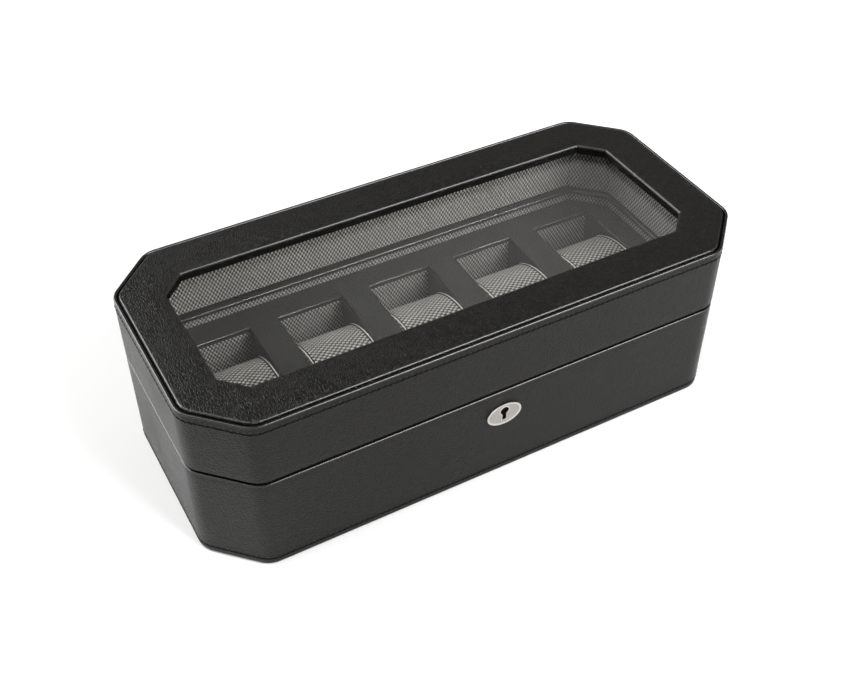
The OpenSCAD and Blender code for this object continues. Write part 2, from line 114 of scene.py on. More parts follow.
class CaseSizes(PropertyGroup):
    """Sizes of the leather covers and their edges"""

    corner_leg: length("Corner leg", "Leg of the slanted corners, seen from above", 30 * MM)
    corner_radius: length("Corner radius", "Radius of the eight upright edges", 15 * MM)
    inner_radius: length("Inner radius", "Radius of the upright edges inside the case", 1.5 * MM)
    leather: length("Leather", "Thickness of the leather", 1.2 * MM)
    lining: length("Lining", "Thickness of the lining cloth", 1.0 * MM)
    rim: length("Rim strip", "Thickness of the leather strips on both rims", 1.0 * MM)
    lid_wall: length("Lid wall", "Whole thickness of the lid's walls", 15 * MM)
    well_leg: length("Well corner leg", "Leg of the slanted corners inside the base", 19.36 * MM)
    border_end: length("End border", "Width of the lid's top border at its ends", 28 * MM)
    border_side: length("Side border", "Width of the lid's top border at front and back", 30 * MM)
    border_leg: length("Window corner leg", "Leg of the window's slanted corners", 13.72 * MM)
    felt_inset: length("Felt inset", "Distance from the felt's edge to the outside of the case", 4 * MM)
    seam_edge: length("Seam edge", "Distance from the outside to the rims' strips", 1.9 * MM)
    turned_edge: length("Turned edge", "Radius of the leather edges at the seam", 0.9 * MM)
    foot_edge: length("Foot edge", "Radius of the leather edge at the foot of the base", 2.3 * MM)
    rim_roll: length("Rim roll", "Radius of the inner edge of both rims", 0.9 * MM)
    rim_reach: length("Rim reach", "How far the base's rim reaches over its lining", 1.6 * MM)
    rim_drop: length("Rim drop", "Height of the base's rim where it reaches over its lining", 3.0 * MM)
    padding: length("Padding", "Thickness of the padded lining of the lid", 2.0 * MM)
    window_roll: length("Window roll", "Radius of the leather edge round the window", 1.7 * MM)
    lip: length("Lip", "Thickness of the turned lip round the lid's top", 2.0 * MM)
    pad_edge: length("Pad edge", "Distance from the lip's outside to the pad's edge", 3.0 * MM)
    unevenness: length("Unevenness", "How far the leather strays from a true surface", 0.03 * MM)


class StitchSizes(PropertyGroup):
    """Sizes of the two stitched lines"""

    pitch: length("Pitch", "Distance between stitches", 3.6 * MM)
    stitch: length("Stitch", "Length of one stitch", 2.7 * MM)
    thread: length("Thread", "Thickness of the thread", 1.4 * MM)
    groove: length("Groove", "Depth of the groove that the thread lies in", 0.35 * MM)
    groove_width: length("Groove width", "Width of the groove", 1.2 * MM)
    lid_line: length("Lid line", "Distance of the lid's line below the top", 6 * MM)
    base_line: length("Base line", "Height of the base's line", 5.5 * MM)
    seed: IntProperty(name="Seed", description="Seed for the stitches' unevenness", default=4)


class CushionSizes(PropertyGroup):
    """Sizes of the watch cushions"""

    crown: length("Crown", "Radius of the top and bottom", 49 * MM)
    nose: length("Nose", "Radius of the front and back", 20 * MM)
    swell: length("Swell", "Most that a point of the cover may move", 1.2 * MM)
    pressure: amount("Pressure", "Pressure of the filling", 4)
    start: ratio("Start size", "Size of the cover before it swells", 0.985)
    piping: length("Piping", "Radius of the piping at both ends", 0.42 * MM)


class PlateSizes(PropertyGroup):
    """Sizes of the keyhole plate"""

    rim: length("Rim", "Width of the raised rim", 1.2 * MM)
    recess: length("Recess", "Depth of the field inside the rim", 0.25 * MM)
    key_radius: length("Keyhole radius", "Radius of the keyhole's round part", 2.75 * MM)
    key_rise: length("Keyhole rise", "Height of the keyhole's round part above the plate's middle", 2.6 * MM)
    key_neck: length("Keyhole neck", "Half width of the slot at its top", 1.18 * MM)
    key_foot: length("Keyhole foot", "Half width of the slot at its bottom", 1.45 * MM)
    key_drop: length("Keyhole drop", "Reach of the slot below the round part's middle", 7.05 * MM)


class Finishes(PropertyGroup):
    """Colours and roughness of the finishes"""

    leather: colour("Leather", "Colour of the black leather", (0.0052, 0.0047, 0.0039))
    suede: colour("Suede cloth", "Colour of the tray's cloth", (0.0088, 0.0084, 0.0068))
    weave_dark: colour("Weave ground", "Colour between the raised diamonds", (0.009, 0.009, 0.0085))
    weave_light: colour("Weave thread", "Colour of the raised diamonds", (0.235, 0.229, 0.214))
    cushion_light: colour("Cushion thread", "Colour of the cushions' raised diamonds", (0.35, 0.342, 0.32))
    leather_roughness: ratio("Leather roughness", "Roughness of the leather", 0.31)
    leather_gloss: ratio("Leather gloss", "Specular level of the leather", 0.16)


class StudioSizes(PropertyGroup):
    """Camera, floor and lights"""

    azimuth: bearing("Azimuth", "Side that the camera stands on", -28.86)
    elevation: bearing("Elevation", "Height angle of the camera", 42.41)
    distance: length("Distance", "Distance from the camera to its aim", 732.5 * MM)
    lens: FloatProperty(name="Lens", description="Focal length", default=50.36, unit="CAMERA")
    aim: FloatVectorProperty(name="Aim", description="Point that the camera looks at",
                             default=(-0.01279, -0.01181, 0.057), subtype="TRANSLATION")
    floor: length("Floor", "Half width of the floor", 6.0)
    sky: amount("Sky", "Strength of the light from all round", 0.22)
    haze: FloatVectorProperty(name="Haze", description="Side of the sky that is brighter",
                              default=(0.56, 0.62, 0.55), subtype="DIRECTION")
    haze_glow: amount("Haze glow", "How much brighter that side is", 0.22)


GROUPS = {
    "case": CaseSizes,
    "stitches": StitchSizes,
    "cushions": CushionSizes,
    "plate": PlateSizes,
    "finishes": Finishes,
    "studio": StudioSizes,
}


# Meshes -------------------------------------------------------------------------------------


def mixed(a, b, t):
    return tuple(p + (q - p) * t for p, q in zip(a, b))


def outline(case, inset):
    """Half length, half width, corner leg and corner radius of the case's outline, moved in."""
    return (HALF_L - inset, HALF_W - inset, case.corner_leg - SLANT * inset,
            max(case.corner_radius - inset, case.inner_radius))


def well(case, grow):
    """The inside of the base, moved out."""
    return (WELL_L + grow, WELL_W + grow, case.well_leg + SLANT * grow, max(case.inner_radius + grow, 0.4 * MM))


def window(case, grow):
    """The window's opening, moved out."""
    return (HALF_L - case.border_end + grow, HALF_W - case.border_side + grow,
            case.border_leg + SLANT * grow, 0.5 * MM + 0.4 * grow)


def octagon(shape):
    """Points of a rounded octagon, anticlockwise, as many for every size."""
    l, w, leg, r = shape
    l, w, leg = l - r, w - r, leg - SLANT * r
    middles = [(l - leg, -w), (l, leg - w), (l, w - leg), (l - leg, w),
               (leg - l, w), (-l, w - leg), (-l, leg - w), (leg - l, -w)]
    steps = [round(x / STRAIGHT_STEP) for x in (0.035, 2 * HALF_W - 0.06, 0.035, 2 * HALF_L - 0.06)] * 2
    points = []
    for i, (x, y) in enumerate(middles):
        for k in range(ARC_STEPS + 1):
            a = math.radians(45 * (i + k / ARC_STEPS) - 90)
            points.append(Vector((x + r * math.cos(a), y + r * math.sin(a))))
        turn = math.radians(45 * (i + 1) - 90)
        end = Vector(middles[(i + 1) % 8]) + r * Vector((math.cos(turn), math.sin(turn)))
        begin = points[-1].copy()
        points += [begin.lerp(end, k / steps[i]) for k in range(1, steps[i])]
    return points


def arc(x, z, r, start, end, steps=6):
    """Points (inset, height) of an arc; angles in degrees from +inset towards +height."""
    return [(x + r * math.cos(math.radians(start + (end - start) * k / steps)),
             z + r * math.sin(math.radians(start + (end - start) * k / steps))) for k in range(steps + 1)]


def quarter(r, steps=6):
    """Points (reach, height) of a quarter turn from a roll's top to its inner side."""
    return [(r * math.sin(a), r * math.cos(a)) for a in (math.pi / 2 * k / steps for k in range(steps + 1))]


def new_object(name, mesh):
    o = bpy.data.objects.new(name, mesh)
    bpy.context.scene.collection.objects.link(o)
    return o


def finish_mesh(bm, name, angle=40):
    """Merges, points outwards, smooths below an angle and makes an object of a closed bmesh."""
    bmesh.ops.remove_doubles(bm, verts=bm.verts, dist=1e-6)
    return smoothed(closed_mesh(bm, name), name, angle)


def closed_mesh(bm, name):
    """Turns a closed bmesh into a mesh whose faces point outwards."""
    bmesh.ops.recalc_face_normals(bm, faces=bm.faces)
    mesh = bpy.data.meshes.new(name)
    bm.to_mesh(mesh)
    bm.free()
    return mesh


def smoothed(mesh, name, angle=40):
    mesh.shade_smooth()
    mesh.set_sharp_from_angle(angle=math.radians(angle))
    return new_object(name, mesh)


def sweep(profile):
    """Closed ring of leather or cloth: a bmesh through rounded octagons (shape, height), with UVs in metres."""
    bm = bmesh.new()
    uv = bm.loops.layers.uv.new("cloth")
    rings = [[bm.verts.new((p.x, p.y, z)) for p in octagon(shape)] for shape, z in profile]
    around = [0.0]
    count = len(rings[0])
    for i in range(count):
        around.append(around[-1] + (rings[0][(i + 1) % count].co - rings[0][i].co).length)
    for a, b in zip(rings, rings[1:] + rings[:1]):
        for i in range(count):
            j = (i + 1) % count
            face = bm.faces.new((a[i], a[j], b[j], b[i]))
            for loop, u in zip(face.loops, (around[i], around[i + 1], around[i + 1], around[i])):
                loop[uv].uv = (u, loop.vert.co.z)
    return bm


def roughened(bm, depth, size, seed=0.0):
    """Moves points of a surface in and out by a smooth noise."""
    bm.normal_update()
    moves = [v.normal * depth * noise.noise(v.co / size + Vector((seed, seed, seed))) for v in bm.verts]
    for v, move in zip(bm.verts, moves):
        v.co += move


def box_mesh(bm, low, high):
    """A closed box with UVs along its length and height."""
    uv = bm.loops.layers.uv.verify()
    corner = [bm.verts.new((x, y, z))
              for x in (low[0], high[0]) for y in (low[1], high[1]) for z in (low[2], high[2])]
    for quad in ((0, 1, 3, 2), (4, 6, 7, 5), (0, 4, 5, 1), (2, 3, 7, 6), (0, 2, 6, 4), (1, 5, 7, 3)):
        face = bm.faces.new([corner[k] for k in quad])
        for loop in face.loops:
            loop[uv].uv = (loop.vert.co.x + loop.vert.co.y, loop.vert.co.z)


def cutter(boxes, cylinders=(), prisms=()):
    """An object of boxes, cylinders along X and prisms along Y to cut rooms with."""
    bm = bmesh.new()
    for low, high in boxes:
        box_mesh(bm, low, high)
    for low, high, y, z, r in cylinders:
        rings = [[bm.verts.new((x, y + r * math.cos(a), z + r * math.sin(a)))
                  for a in (k * math.tau / 32 for k in range(32))] for x in (low, high)]
        join_rings(bm, *rings)
        cap_rings(bm, rings)
    for points, low, high in prisms:
        rings = [[bm.verts.new((x, y, z)) for x, z in points] for y in (low, high)]
        join_rings(bm, *rings)
        cap_rings(bm, rings)
    return new_object("cutter", closed_mesh(bm, "cutter"))


def join_rings(bm, a, b):
    for i in range(len(a)):
        j = (i + 1) % len(a)
        bm.faces.new((a[i], a[j], b[j], b[i]))


def cap_rings(bm, rings):
    """Closes a tube of rings at both ends."""
    bm.faces.new(rings[0])
    bm.faces.new(rings[-1])


def settle(o, tool=None):
    """Turns an object's modifiers into plain mesh, and removes the tool that cut it."""
    done = bpy.data.meshes.new_from_object(o.evaluated_get(bpy.context.evaluated_depsgraph_get()))
    o.modifiers.clear()
    old, o.data = o.data, done
    bpy.data.meshes.remove(old)
    if tool:
        bpy.data.objects.remove(tool)
    return o


def cut(o, tool):
    change = o.modifiers.new("cut", "BOOLEAN")
    change.object = tool
    change.operation = "DIFFERENCE"
    change.solver = "EXACT"
    change.use_self = True
    settle(o, tool)
    o.data.set_sharp_from_angle(angle=CUT_ANGLE)
    return o


def place_piece(o, finish, slot, body, *nodes):
    """Gives a piece its finish, or several joined by +, and says what it rides on and stands for."""
    index = [face.material_index for face in o.data.polygons]
    o.data.materials.clear()
    for name in finish.split("+"):
        o.data.materials.append(bpy.data.materials[name])
    o.data.polygons.foreach_set("material_index", index)
    if nodes:
        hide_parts(*nodes)
    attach(o, body)
    return o


def hinge_rooms(z0, z1):
    """Boxes and cylinders of the room for both hinges, for leather between two heights."""
    gap, swing = 0.1 * MM, 0.4 * MM
    boxes, barrels = [], []
    for side in ("left", "right"):
        low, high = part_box(side + "_hinge_base_leaf")
        pin_low, pin_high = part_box("hinge_pins")
        axis_y, axis_z = (pin_low.y + pin_high.y) / 2, (pin_low.z + pin_high.z) / 2
        reach = pin_high.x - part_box("right_hinge_base_leaf")[1].x + swing
        radius = high.y - axis_y + swing
        boxes.append(((low.x - gap, low.y - gap, z0), (high.x + gap, axis_y, z1)))
        barrels.append((low.x - reach, high.x + reach, axis_y, axis_z, radius))
    return boxes, barrels


# Finishes -----------------------------------------------------------------------------------


def feed(tree, sockets, inputs):
    """Sets inputs, by name or number, to values, or links them to sockets."""
    for key, value in inputs.items():
        if isinstance(value, bpy.types.NodeSocket):
            tree.links.new(value, sockets[key])
        else:
            sockets[key].default_value = value


def add(tree, kind, inputs=None, **settings):
    """A node with its settings and inputs."""
    n = tree.nodes.new(kind)
    for key, value in settings.items():
        setattr(n, key, value)
    feed(tree, n.inputs, inputs or {})
    return n


def maths(tree, operation, *values, clamp=False):
    return add(tree, "ShaderNodeMath", dict(enumerate(values)), operation=operation, use_clamp=clamp).outputs[0]


def new_group(name, kind, ins, outs):
    tree = bpy.data.node_groups.new(name, kind)
    for label, socket, value in ins:
        made = tree.interface.new_socket(label, in_out="INPUT", socket_type=socket)
        if value is not None:
            made.default_value = value
    for label, socket in outs:
        tree.interface.new_socket(label, in_out="OUTPUT", socket_type=socket)
    return tree, tree.nodes.new("NodeGroupInput").outputs, tree.nodes.new("NodeGroupOutput").inputs


def build_leather_grain():
    """Pebbles with creases between them, over a finer tooth."""
    tree, ins, outs = new_group(
        "leather_grain", "ShaderNodeTree",
        [("Vector", "NodeSocketVector", None), ("Pebble", "NodeSocketFloat", 800.0),
         ("Wrinkle", "NodeSocketFloat", 0.5)],
        [("Height", "NodeSocketFloat"), ("Crease", "NodeSocketFloat")])
    warp = add(tree, "ShaderNodeTexNoise", {"Vector": ins["Vector"], "Scale": 260.0, "Detail": 2.0})
    bent = add(tree, "ShaderNodeVectorMath", {0: warp.outputs["Color"], 1: ins["Vector"], "Scale": 0.0022},
               operation="SCALE")
    moved = add(tree, "ShaderNodeVectorMath", {0: ins["Vector"], 1: bent.outputs[0]}, operation="ADD")
    stretched = add(tree, "ShaderNodeMapping", {"Vector": moved.outputs[0], "Rotation": (0.0, 0.0, 0.6),
                                                "Scale": (1.0, 0.55, 1.0)})
    pebble = add(tree, "ShaderNodeTexVoronoi", {"Vector": stretched.outputs[0], "Scale": ins["Pebble"],
                                                "Randomness": 1.0}, feature="DISTANCE_TO_EDGE")
    crease = add(tree, "ShaderNodeMapRange", {"Value": pebble.outputs["Distance"], "From Min": 0.0,
                                              "From Max": 0.22}, interpolation_type="SMOOTHSTEP")
    fine = add(tree, "ShaderNodeTexNoise", {"Vector": ins["Vector"], "Scale": 3200.0, "Detail": 2.0})
    fold = add(tree, "ShaderNodeTexNoise", {"Vector": stretched.outputs[0], "Scale": 240.0, "Detail": 3.0,
                                            "Roughness": 0.6})
    low = maths(tree, "MULTIPLY", fold.outputs["Fac"], ins["Wrinkle"])
    high = maths(tree, "MULTIPLY_ADD", fine.outputs["Fac"], 0.35, crease.outputs[0])
    tree.links.new(maths(tree, "ADD", low, high), outs["Height"])
    tree.links.new(crease.outputs[0], outs["Crease"])


def build_diamond_weave():
    """Raised diamonds in a staggered lattice, with the threads' own ribs."""
    tree, ins, outs = new_group(
        "diamond_weave", "ShaderNodeTree",
        [("Vector", "NodeSocketVector", None), ("Cell Width", "NodeSocketFloat", 2.46 * MM),
         ("Cell Height", "NodeSocketFloat", 4.0 * MM)],
        [("Height", "NodeSocketFloat"), ("Mask", "NodeSocketFloat")])
    place = add(tree, "ShaderNodeSeparateXYZ", {0: ins["Vector"]})
    waves = []
    for axis, cell in ((0, "Cell Width"), (1, "Cell Height")):
        turns = maths(tree, "DIVIDE", place.outputs[axis], ins[cell])
        waves.append(maths(tree, "COSINE", maths(tree, "MULTIPLY", turns, math.tau)))
    lattice = maths(tree, "MULTIPLY", waves[0], waves[1])
    mask = add(tree, "ShaderNodeMapRange", {"Value": lattice, "From Min": -0.25, "From Max": 0.45},
               interpolation_type="SMOOTHSTEP")
    tree.links.new(mask.outputs[0], outs["Mask"])
    tree.links.new(lattice, outs["Height"])


def build_handling():
    """Broad, soft variation from cloth nap, wear and handling."""
    tree, ins, outs = new_group(
        "handling", "ShaderNodeTree",
        [("Vector", "NodeSocketVector", None), ("Scale", "NodeSocketFloat", 30.0)],
        [("Tone", "NodeSocketFloat"), ("Fine", "NodeSocketFloat")])
    broad = add(tree, "ShaderNodeTexNoise", {"Vector": ins["Vector"], "Scale": ins["Scale"], "Detail": 4.0,
                                             "Roughness": 0.55})
    fine = add(tree, "ShaderNodeTexNoise", {"Vector": ins["Vector"], "Scale": 3000.0, "Detail": 2.0})
    tone = add(tree, "ShaderNodeMapRange", {"Value": broad.outputs["Fac"], "From Min": 0.3, "From Max": 0.7})
    tree.links.new(tone.outputs[0], outs["Tone"])
    tree.links.new(fine.outputs["Fac"], outs["Fine"])


def build_rolled_edge():
    """Mask of the places where a flat surface rolls over, from its normal's height."""
    tree, ins, outs = new_group(
        "rolled_edge", "ShaderNodeTree",
        [("Normal", "NodeSocketVector", None), ("Strength", "NodeSocketFloat", 1.0)],
        [("Mask", "NodeSocketFloat")])
    rise = add(tree, "ShaderNodeSeparateXYZ", {0: ins["Normal"]}).outputs[2]
    start = add(tree, "ShaderNodeMapRange", {"Value": rise, "From Min": 0.08, "From Max": 0.35},
                interpolation_type="SMOOTHSTEP")
    end = add(tree, "ShaderNodeMapRange", {"Value": rise, "From Min": 0.93, "From Max": 0.99, "To Min": 1.0,
                                           "To Max": 0.0}, interpolation_type="SMOOTHSTEP")
    both = maths(tree, "MULTIPLY", start.outputs[0], end.outputs[0])
    tree.links.new(maths(tree, "MULTIPLY", both, ins["Strength"], clamp=True), outs["Mask"])


def use_group(tree, name, inputs):
    return add(tree, "ShaderNodeGroup", inputs, node_tree=bpy.data.node_groups[name]).outputs


def shade(colour_in, factor):
    return tuple(c * factor for c in colour_in) + (1.0,)


def new_finish(name):
    """A material with a Principled shader, its tree and its object coordinates."""
    material = bpy.data.materials.new(name)
    material.use_nodes = True
    tree = material.node_tree
    return tree, tree.nodes["Principled BSDF"].inputs, add(tree, "ShaderNodeTexCoord").outputs


def blend_colour(tree, factor, a, b):
    return add(tree, "ShaderNodeMix", {"Factor": factor, 6: a, 7: b}, data_type="RGBA").outputs[2]


def blend_value(tree, factor, a, b):
    return add(tree, "ShaderNodeMapRange", {"Value": factor, "To Min": a, "To Max": b}).outputs[0]


def bump(tree, height, distance, strength=1.0):
    return add(tree, "ShaderNodeBump", {"Height": height, "Distance": distance, "Strength": strength}).outputs[0]


def leather_finish(name, base, roughness, gloss, pebble, depth, wrinkle, polish):
    tree, shader, where = new_finish(name)
    grain = use_group(tree, "leather_grain", {"Vector": where["Object"], "Pebble": pebble, "Wrinkle": wrinkle})
    wear = use_group(tree, "handling", {"Vector": where["Object"], "Scale": 22.0})
    rolled = use_group(tree, "rolled_edge", {"Normal": where["Normal"], "Strength": polish})
    toned = blend_colour(tree, wear["Tone"], shade(base, 0.8), shade(base, 1.25))
    feed(tree, shader, {
        # The grain's creases are darkened to 0.55 of the colour: painted shade in the creases.
        "Base Color": blend_colour(tree, grain["Crease"], shade(base, 0.55), toned),
        "Roughness": blend_value(tree, wear["Tone"], roughness - 0.04, roughness + 0.05),
        "Specular IOR Level": gloss,
        "Coat Weight": rolled["Mask"],
        "Coat Roughness": 0.26,
        "Coat IOR": 1.6,
        "Normal": bump(tree, grain["Height"], depth),
    })


def suede_finish(name, base, depth=0.004 * MM, roughness=0.7, gloss=0.3, sheen=0.05):
    tree, shader, where = new_finish(name)
    nap = use_group(tree, "handling", {"Vector": where["Object"], "Scale": 55.0})
    flecked = maths(tree, "MULTIPLY_ADD", nap["Fine"], 0.5, maths(tree, "MULTIPLY", nap["Tone"], 0.5))
    feed(tree, shader, {
        "Base Color": blend_colour(tree, flecked, shade(base, 0.92), shade(base, 1.08)),
        "Roughness": roughness,
        "Specular IOR Level": gloss,
        "Sheen Weight": sheen,
        "Sheen Roughness": 0.5,
        "Normal": bump(tree, nap["Fine"], depth),
    })


def weave_finish(name, dark, light, width, height, depth):
    tree, shader, where = new_finish(name)
    place = add(tree, "ShaderNodeUVMap", uv_map="cloth").outputs[0]
    weave = use_group(tree, "diamond_weave", {"Vector": place, "Cell Width": width, "Cell Height": height})
    nap = use_group(tree, "handling", {"Vector": where["Object"], "Scale": 35.0})
    thread = blend_colour(tree, nap["Tone"], shade(light, 0.85), shade(light, 1.1))
    raised = maths(tree, "MULTIPLY_ADD", nap["Fine"], 0.15, weave["Height"])
    feed(tree, shader, {
        "Base Color": blend_colour(tree, weave["Mask"], shade(dark, 1.0), thread),
        "Roughness": blend_value(tree, weave["Mask"], 0.85, 0.5),
        "Specular IOR Level": 0.4,
        "Sheen Weight": 0.15,
        "Normal": bump(tree, raised, depth),
    })


def metal_finish(name, base, roughness, brushed=0.012 * MM):
    tree, shader, where = new_finish(name)
    wear = use_group(tree, "handling", {"Vector": where["Object"], "Scale": 140.0})
    long = add(tree, "ShaderNodeMapping", {"Vector": where["Object"], "Scale": (0.06, 1.0, 1.0)})
    lines = add(tree, "ShaderNodeTexNoise", {"Vector": long.outputs[0], "Scale": 9000.0, "Detail": 2.0})
    feed(tree, shader, {
        "Base Color": blend_colour(tree, wear["Tone"], shade(base, 0.92), shade(base, 1.04)),
        "Roughness": blend_value(tree, wear["Tone"], roughness - 0.04, roughness + 0.05),
        "Metallic": 1.0,
        "Normal": bump(tree, lines.outputs["Fac"], brushed),
    })


def wood_finish(name, base):
    tree, shader, where = new_finish(name)
    fibre = use_group(tree, "handling", {"Vector": where["Object"], "Scale": 90.0})
    streaked = maths(tree, "MULTIPLY_ADD", fibre["Fine"], 0.7, maths(tree, "MULTIPLY", fibre["Tone"], 0.3))
    feed(tree, shader, {
        "Base Color": blend_colour(tree, streaked, shade(base, 0.65), shade(base, 1.25)),
        "Roughness": 0.85,
        "Normal": bump(tree, fibre["Fine"], 0.06 * MM),
    })


def glass_finish(name):
    """Clear glass that lets the lamps light what lies behind it."""
    tree, shader, where = new_finish(name)
    film = use_group(tree, "handling", {"Vector": where["Object"], "Scale": 12.0})
    feed(tree, shader, {
        "Base Color": (0.96, 0.96, 0.945, 1.0),
        "Transmission Weight": 1.0,
        "Metallic": 0.0,
        "Roughness": 0.0,
        "IOR": 1.5,
        "Normal": bump(tree, film["Tone"], 0.004 * MM),
    })
    clear = add(tree, "ShaderNodeBsdfTransparent", {0: (0.92, 0.92, 0.905, 1.0)})
    ray = add(tree, "ShaderNodeLightPath").outputs["Is Shadow Ray"]
    both = add(tree, "ShaderNodeMixShader",
               {0: ray, 1: tree.nodes["Principled BSDF"].outputs[0], 2: clear.outputs[0]})
    tree.links.new(both.outputs[0], tree.nodes["Material Output"].inputs[0])


# Operators ----------------------------------------------------------------------------------


class FinishOperator(Operator):
    """Build every finish and give the bare CAD nodes theirs"""

    bl_idname = "watch_box.finishes"
    bl_label = "Finishes"

    def execute(self, context):
        made = context.scene.watch_box_finishes
        for plain in list(bpy.data.materials):
            bpy.data.materials.remove(plain)
        build_leather_grain()
        build_diamond_weave()
        build_handling()
        build_rolled_edge()
        rough, gloss = made.leather_roughness, made.leather_gloss
        leather_finish("side_leather", made.leather, rough, gloss,
                       pebble=620.0, depth=0.13 * MM, wrinkle=0.7, polish=0.95)
        leather_finish("top_leather", made.leather, rough, gloss + 0.13,
                       pebble=740.0, depth=0.16 * MM, wrinkle=0.9, polish=0.55)
        leather_finish("rim_leather", made.suede, rough - 0.02, 0.35,
                       pebble=900.0, depth=0.01 * MM, wrinkle=0.2, polish=0.6)
        # Near-black leather for the pad's groove and the window's inner drop; its darker colour is painted shade
        # of these recesses.
        leather_finish("turned_leather", (0.0022, 0.0021, 0.0019), rough + 0.15, 0.05,
                       pebble=700.0, depth=0.05 * MM, wrinkle=0.5, polish=0.0)
        suede_finish("suede_cloth", made.suede)
        suede_finish("felt", (0.016, 0.016, 0.016), depth=0.12 * MM)
        suede_finish("thread", (0.0025, 0.0025, 0.0025), depth=0.03 * MM, roughness=0.6, gloss=0.1, sheen=0.0)
        suede_finish("piping", (0.52, 0.51, 0.48), depth=0.005 * MM, roughness=0.35)
        suede_finish("foam", (0.55, 0.50, 0.38), depth=0.2 * MM)
        weave_finish("lining_cloth", made.weave_dark, made.weave_light,
                     width=2.46 * MM, height=4.0 * MM, depth=0.35 * MM)
        weave_finish("cushion_cloth", made.weave_dark, made.cushion_light,
                     width=4.0 * MM, height=3.2 * MM, depth=0.4 * MM)
        metal_finish("satin_nickel", (0.36, 0.343, 0.32), 0.42)
        # Rim and keyhole border: a little smoother than the satin field, and its lighter colour is painted
        # highlight.
        metal_finish("polished_nickel", (0.56, 0.54, 0.51), 0.34)
        metal_finish("plated_steel", (0.42, 0.41, 0.39), 0.40, brushed=0.001 * MM)
        metal_finish("bolt_brass", (0.72, 0.55, 0.25), 0.3)
        wood_finish("wood_board", (0.030, 0.026, 0.022))
        glass_finish("window_glass")
        finish_of = {"black_leather": "side_leather", "diamond_cloth": "lining_cloth"}
        for entry in frame["record"]["subparts"]:
            data = frame["nodes"][entry["node"]].data
            slot = entry["material_slot"]
            data.materials.clear()
            data.materials.append(bpy.data.materials[finish_of.get(slot, slot)])
        return {"FINISHED"}


def stitch_groove(line, sizes):
    """Points (inset, height) of the groove that a stitched line lies in."""
    half, deep = sizes.groove_width / 2, sizes.groove
    return [(0, line - half), (deep, line - half + HAIR), (deep, line + half - HAIR), (0, line + half)]


def straight(low, high, steps):
    """Points (inset, height) between two heights of the outside."""
    return [(0, low + (high - low) * k / steps) for k in range(1, steps)]


class BaseLeatherOperator(Operator):
    """Wrap the base in leather, turned under at the foot and rolled at the seam"""

    bl_idname = "watch_box.base_leather"
    bl_label = "Base leather"

    def execute(self, context):
        case, plate = context.scene.watch_box_case, context.scene.watch_box_plate
        stitches = context.scene.watch_box_stitches
        t, foot, edge = case.leather, case.foot_edge, case.seam_edge
        low, under = CASE_LOW.z, 0.3 * MM
        hem, rolled = SEAM_LOW - case.rim + 0.05 * MM, case.turned_edge
        points = [(case.felt_inset, under)] + arc(foot, under + foot, foot, -90, -180)
        points += stitch_groove(stitches.base_line, stitches)
        points += straight(points[-1][1], hem - rolled, 12)
        points += arc(rolled, hem - rolled, rolled, 180, 90)
        points += [(edge, hem), (edge, SEAM_LOW - case.rim), (t, SEAM_LOW - case.rim),
                   (t, low), (case.felt_inset, low)]
        bm = sweep([(outline(case, inset), z) for inset, z in points])
        roughened(bm, case.unevenness, 18 * MM)
        o = finish_mesh(bm, "base_leather")
        leaf_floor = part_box("hinge_base_screws")[1].z - LEAF_ROOM
        boxes, barrels = hinge_rooms(leaf_floor, SEAM_HIGH + OVER)
        middle, wider, taller, deep = plate_middle(), 1.15, 1.1, 3 * MM
        hole = [(middle.x + x * wider, middle.z + z * taller) for x, z in keyhole_outline(plate)]
        cut(o, cutter(boxes, barrels, [(hole, -HALF_W - deep, -HALF_W + deep)]))
        place_piece(o, "side_leather", "black_leather", "base", "base_leather_wrap")
        return {"FINISHED"}


class LidLeatherOperator(Operator):
    """Wrap the lid in leather, rolled at the seam and turned over in a lip at the top"""

    bl_idname = "watch_box.lid_leather"
    bl_label = "Lid leather"

    def execute(self, context):
        case, stitches = context.scene.watch_box_case, context.scene.watch_box_stitches
        t, edge, lip = case.leather, case.seam_edge, case.lip
        top, pad_low = LID_HIGH.z + 0.7 * MM, PAD_HIGH.z - PAD_HEIGHT
        low, rolled = SEAM_HIGH + case.rim - 0.15 * MM, case.turned_edge
        groove = stitch_groove(PAD_HIGH.z - stitches.lid_line, stitches)
        points = [(edge, low)] + arc(rolled, low + rolled, rolled, -90, -180)
        points += straight(low + rolled, groove[0][1], 10) + groove
        points += arc(lip / 2, top - lip / 2, lip / 2, 180, 0, 8)
        points += [(lip, pad_low), (t, pad_low), (t, SEAM_HIGH + case.rim), (edge, SEAM_HIGH + case.rim)]
        bm = sweep([(outline(case, inset), z) for inset, z in points])
        roughened(bm, case.unevenness, 18 * MM, 5.0)
        o = finish_mesh(bm, "lid_leather")
        cut(o, cutter(*hinge_rooms(SEAM_HIGH - 3 * MM, SEAM_HIGH + LEAF_ROOM)))
        place_piece(o, "side_leather", "black_leather", "lid", "lid_leather_wrap")
        return {"FINISHED"}


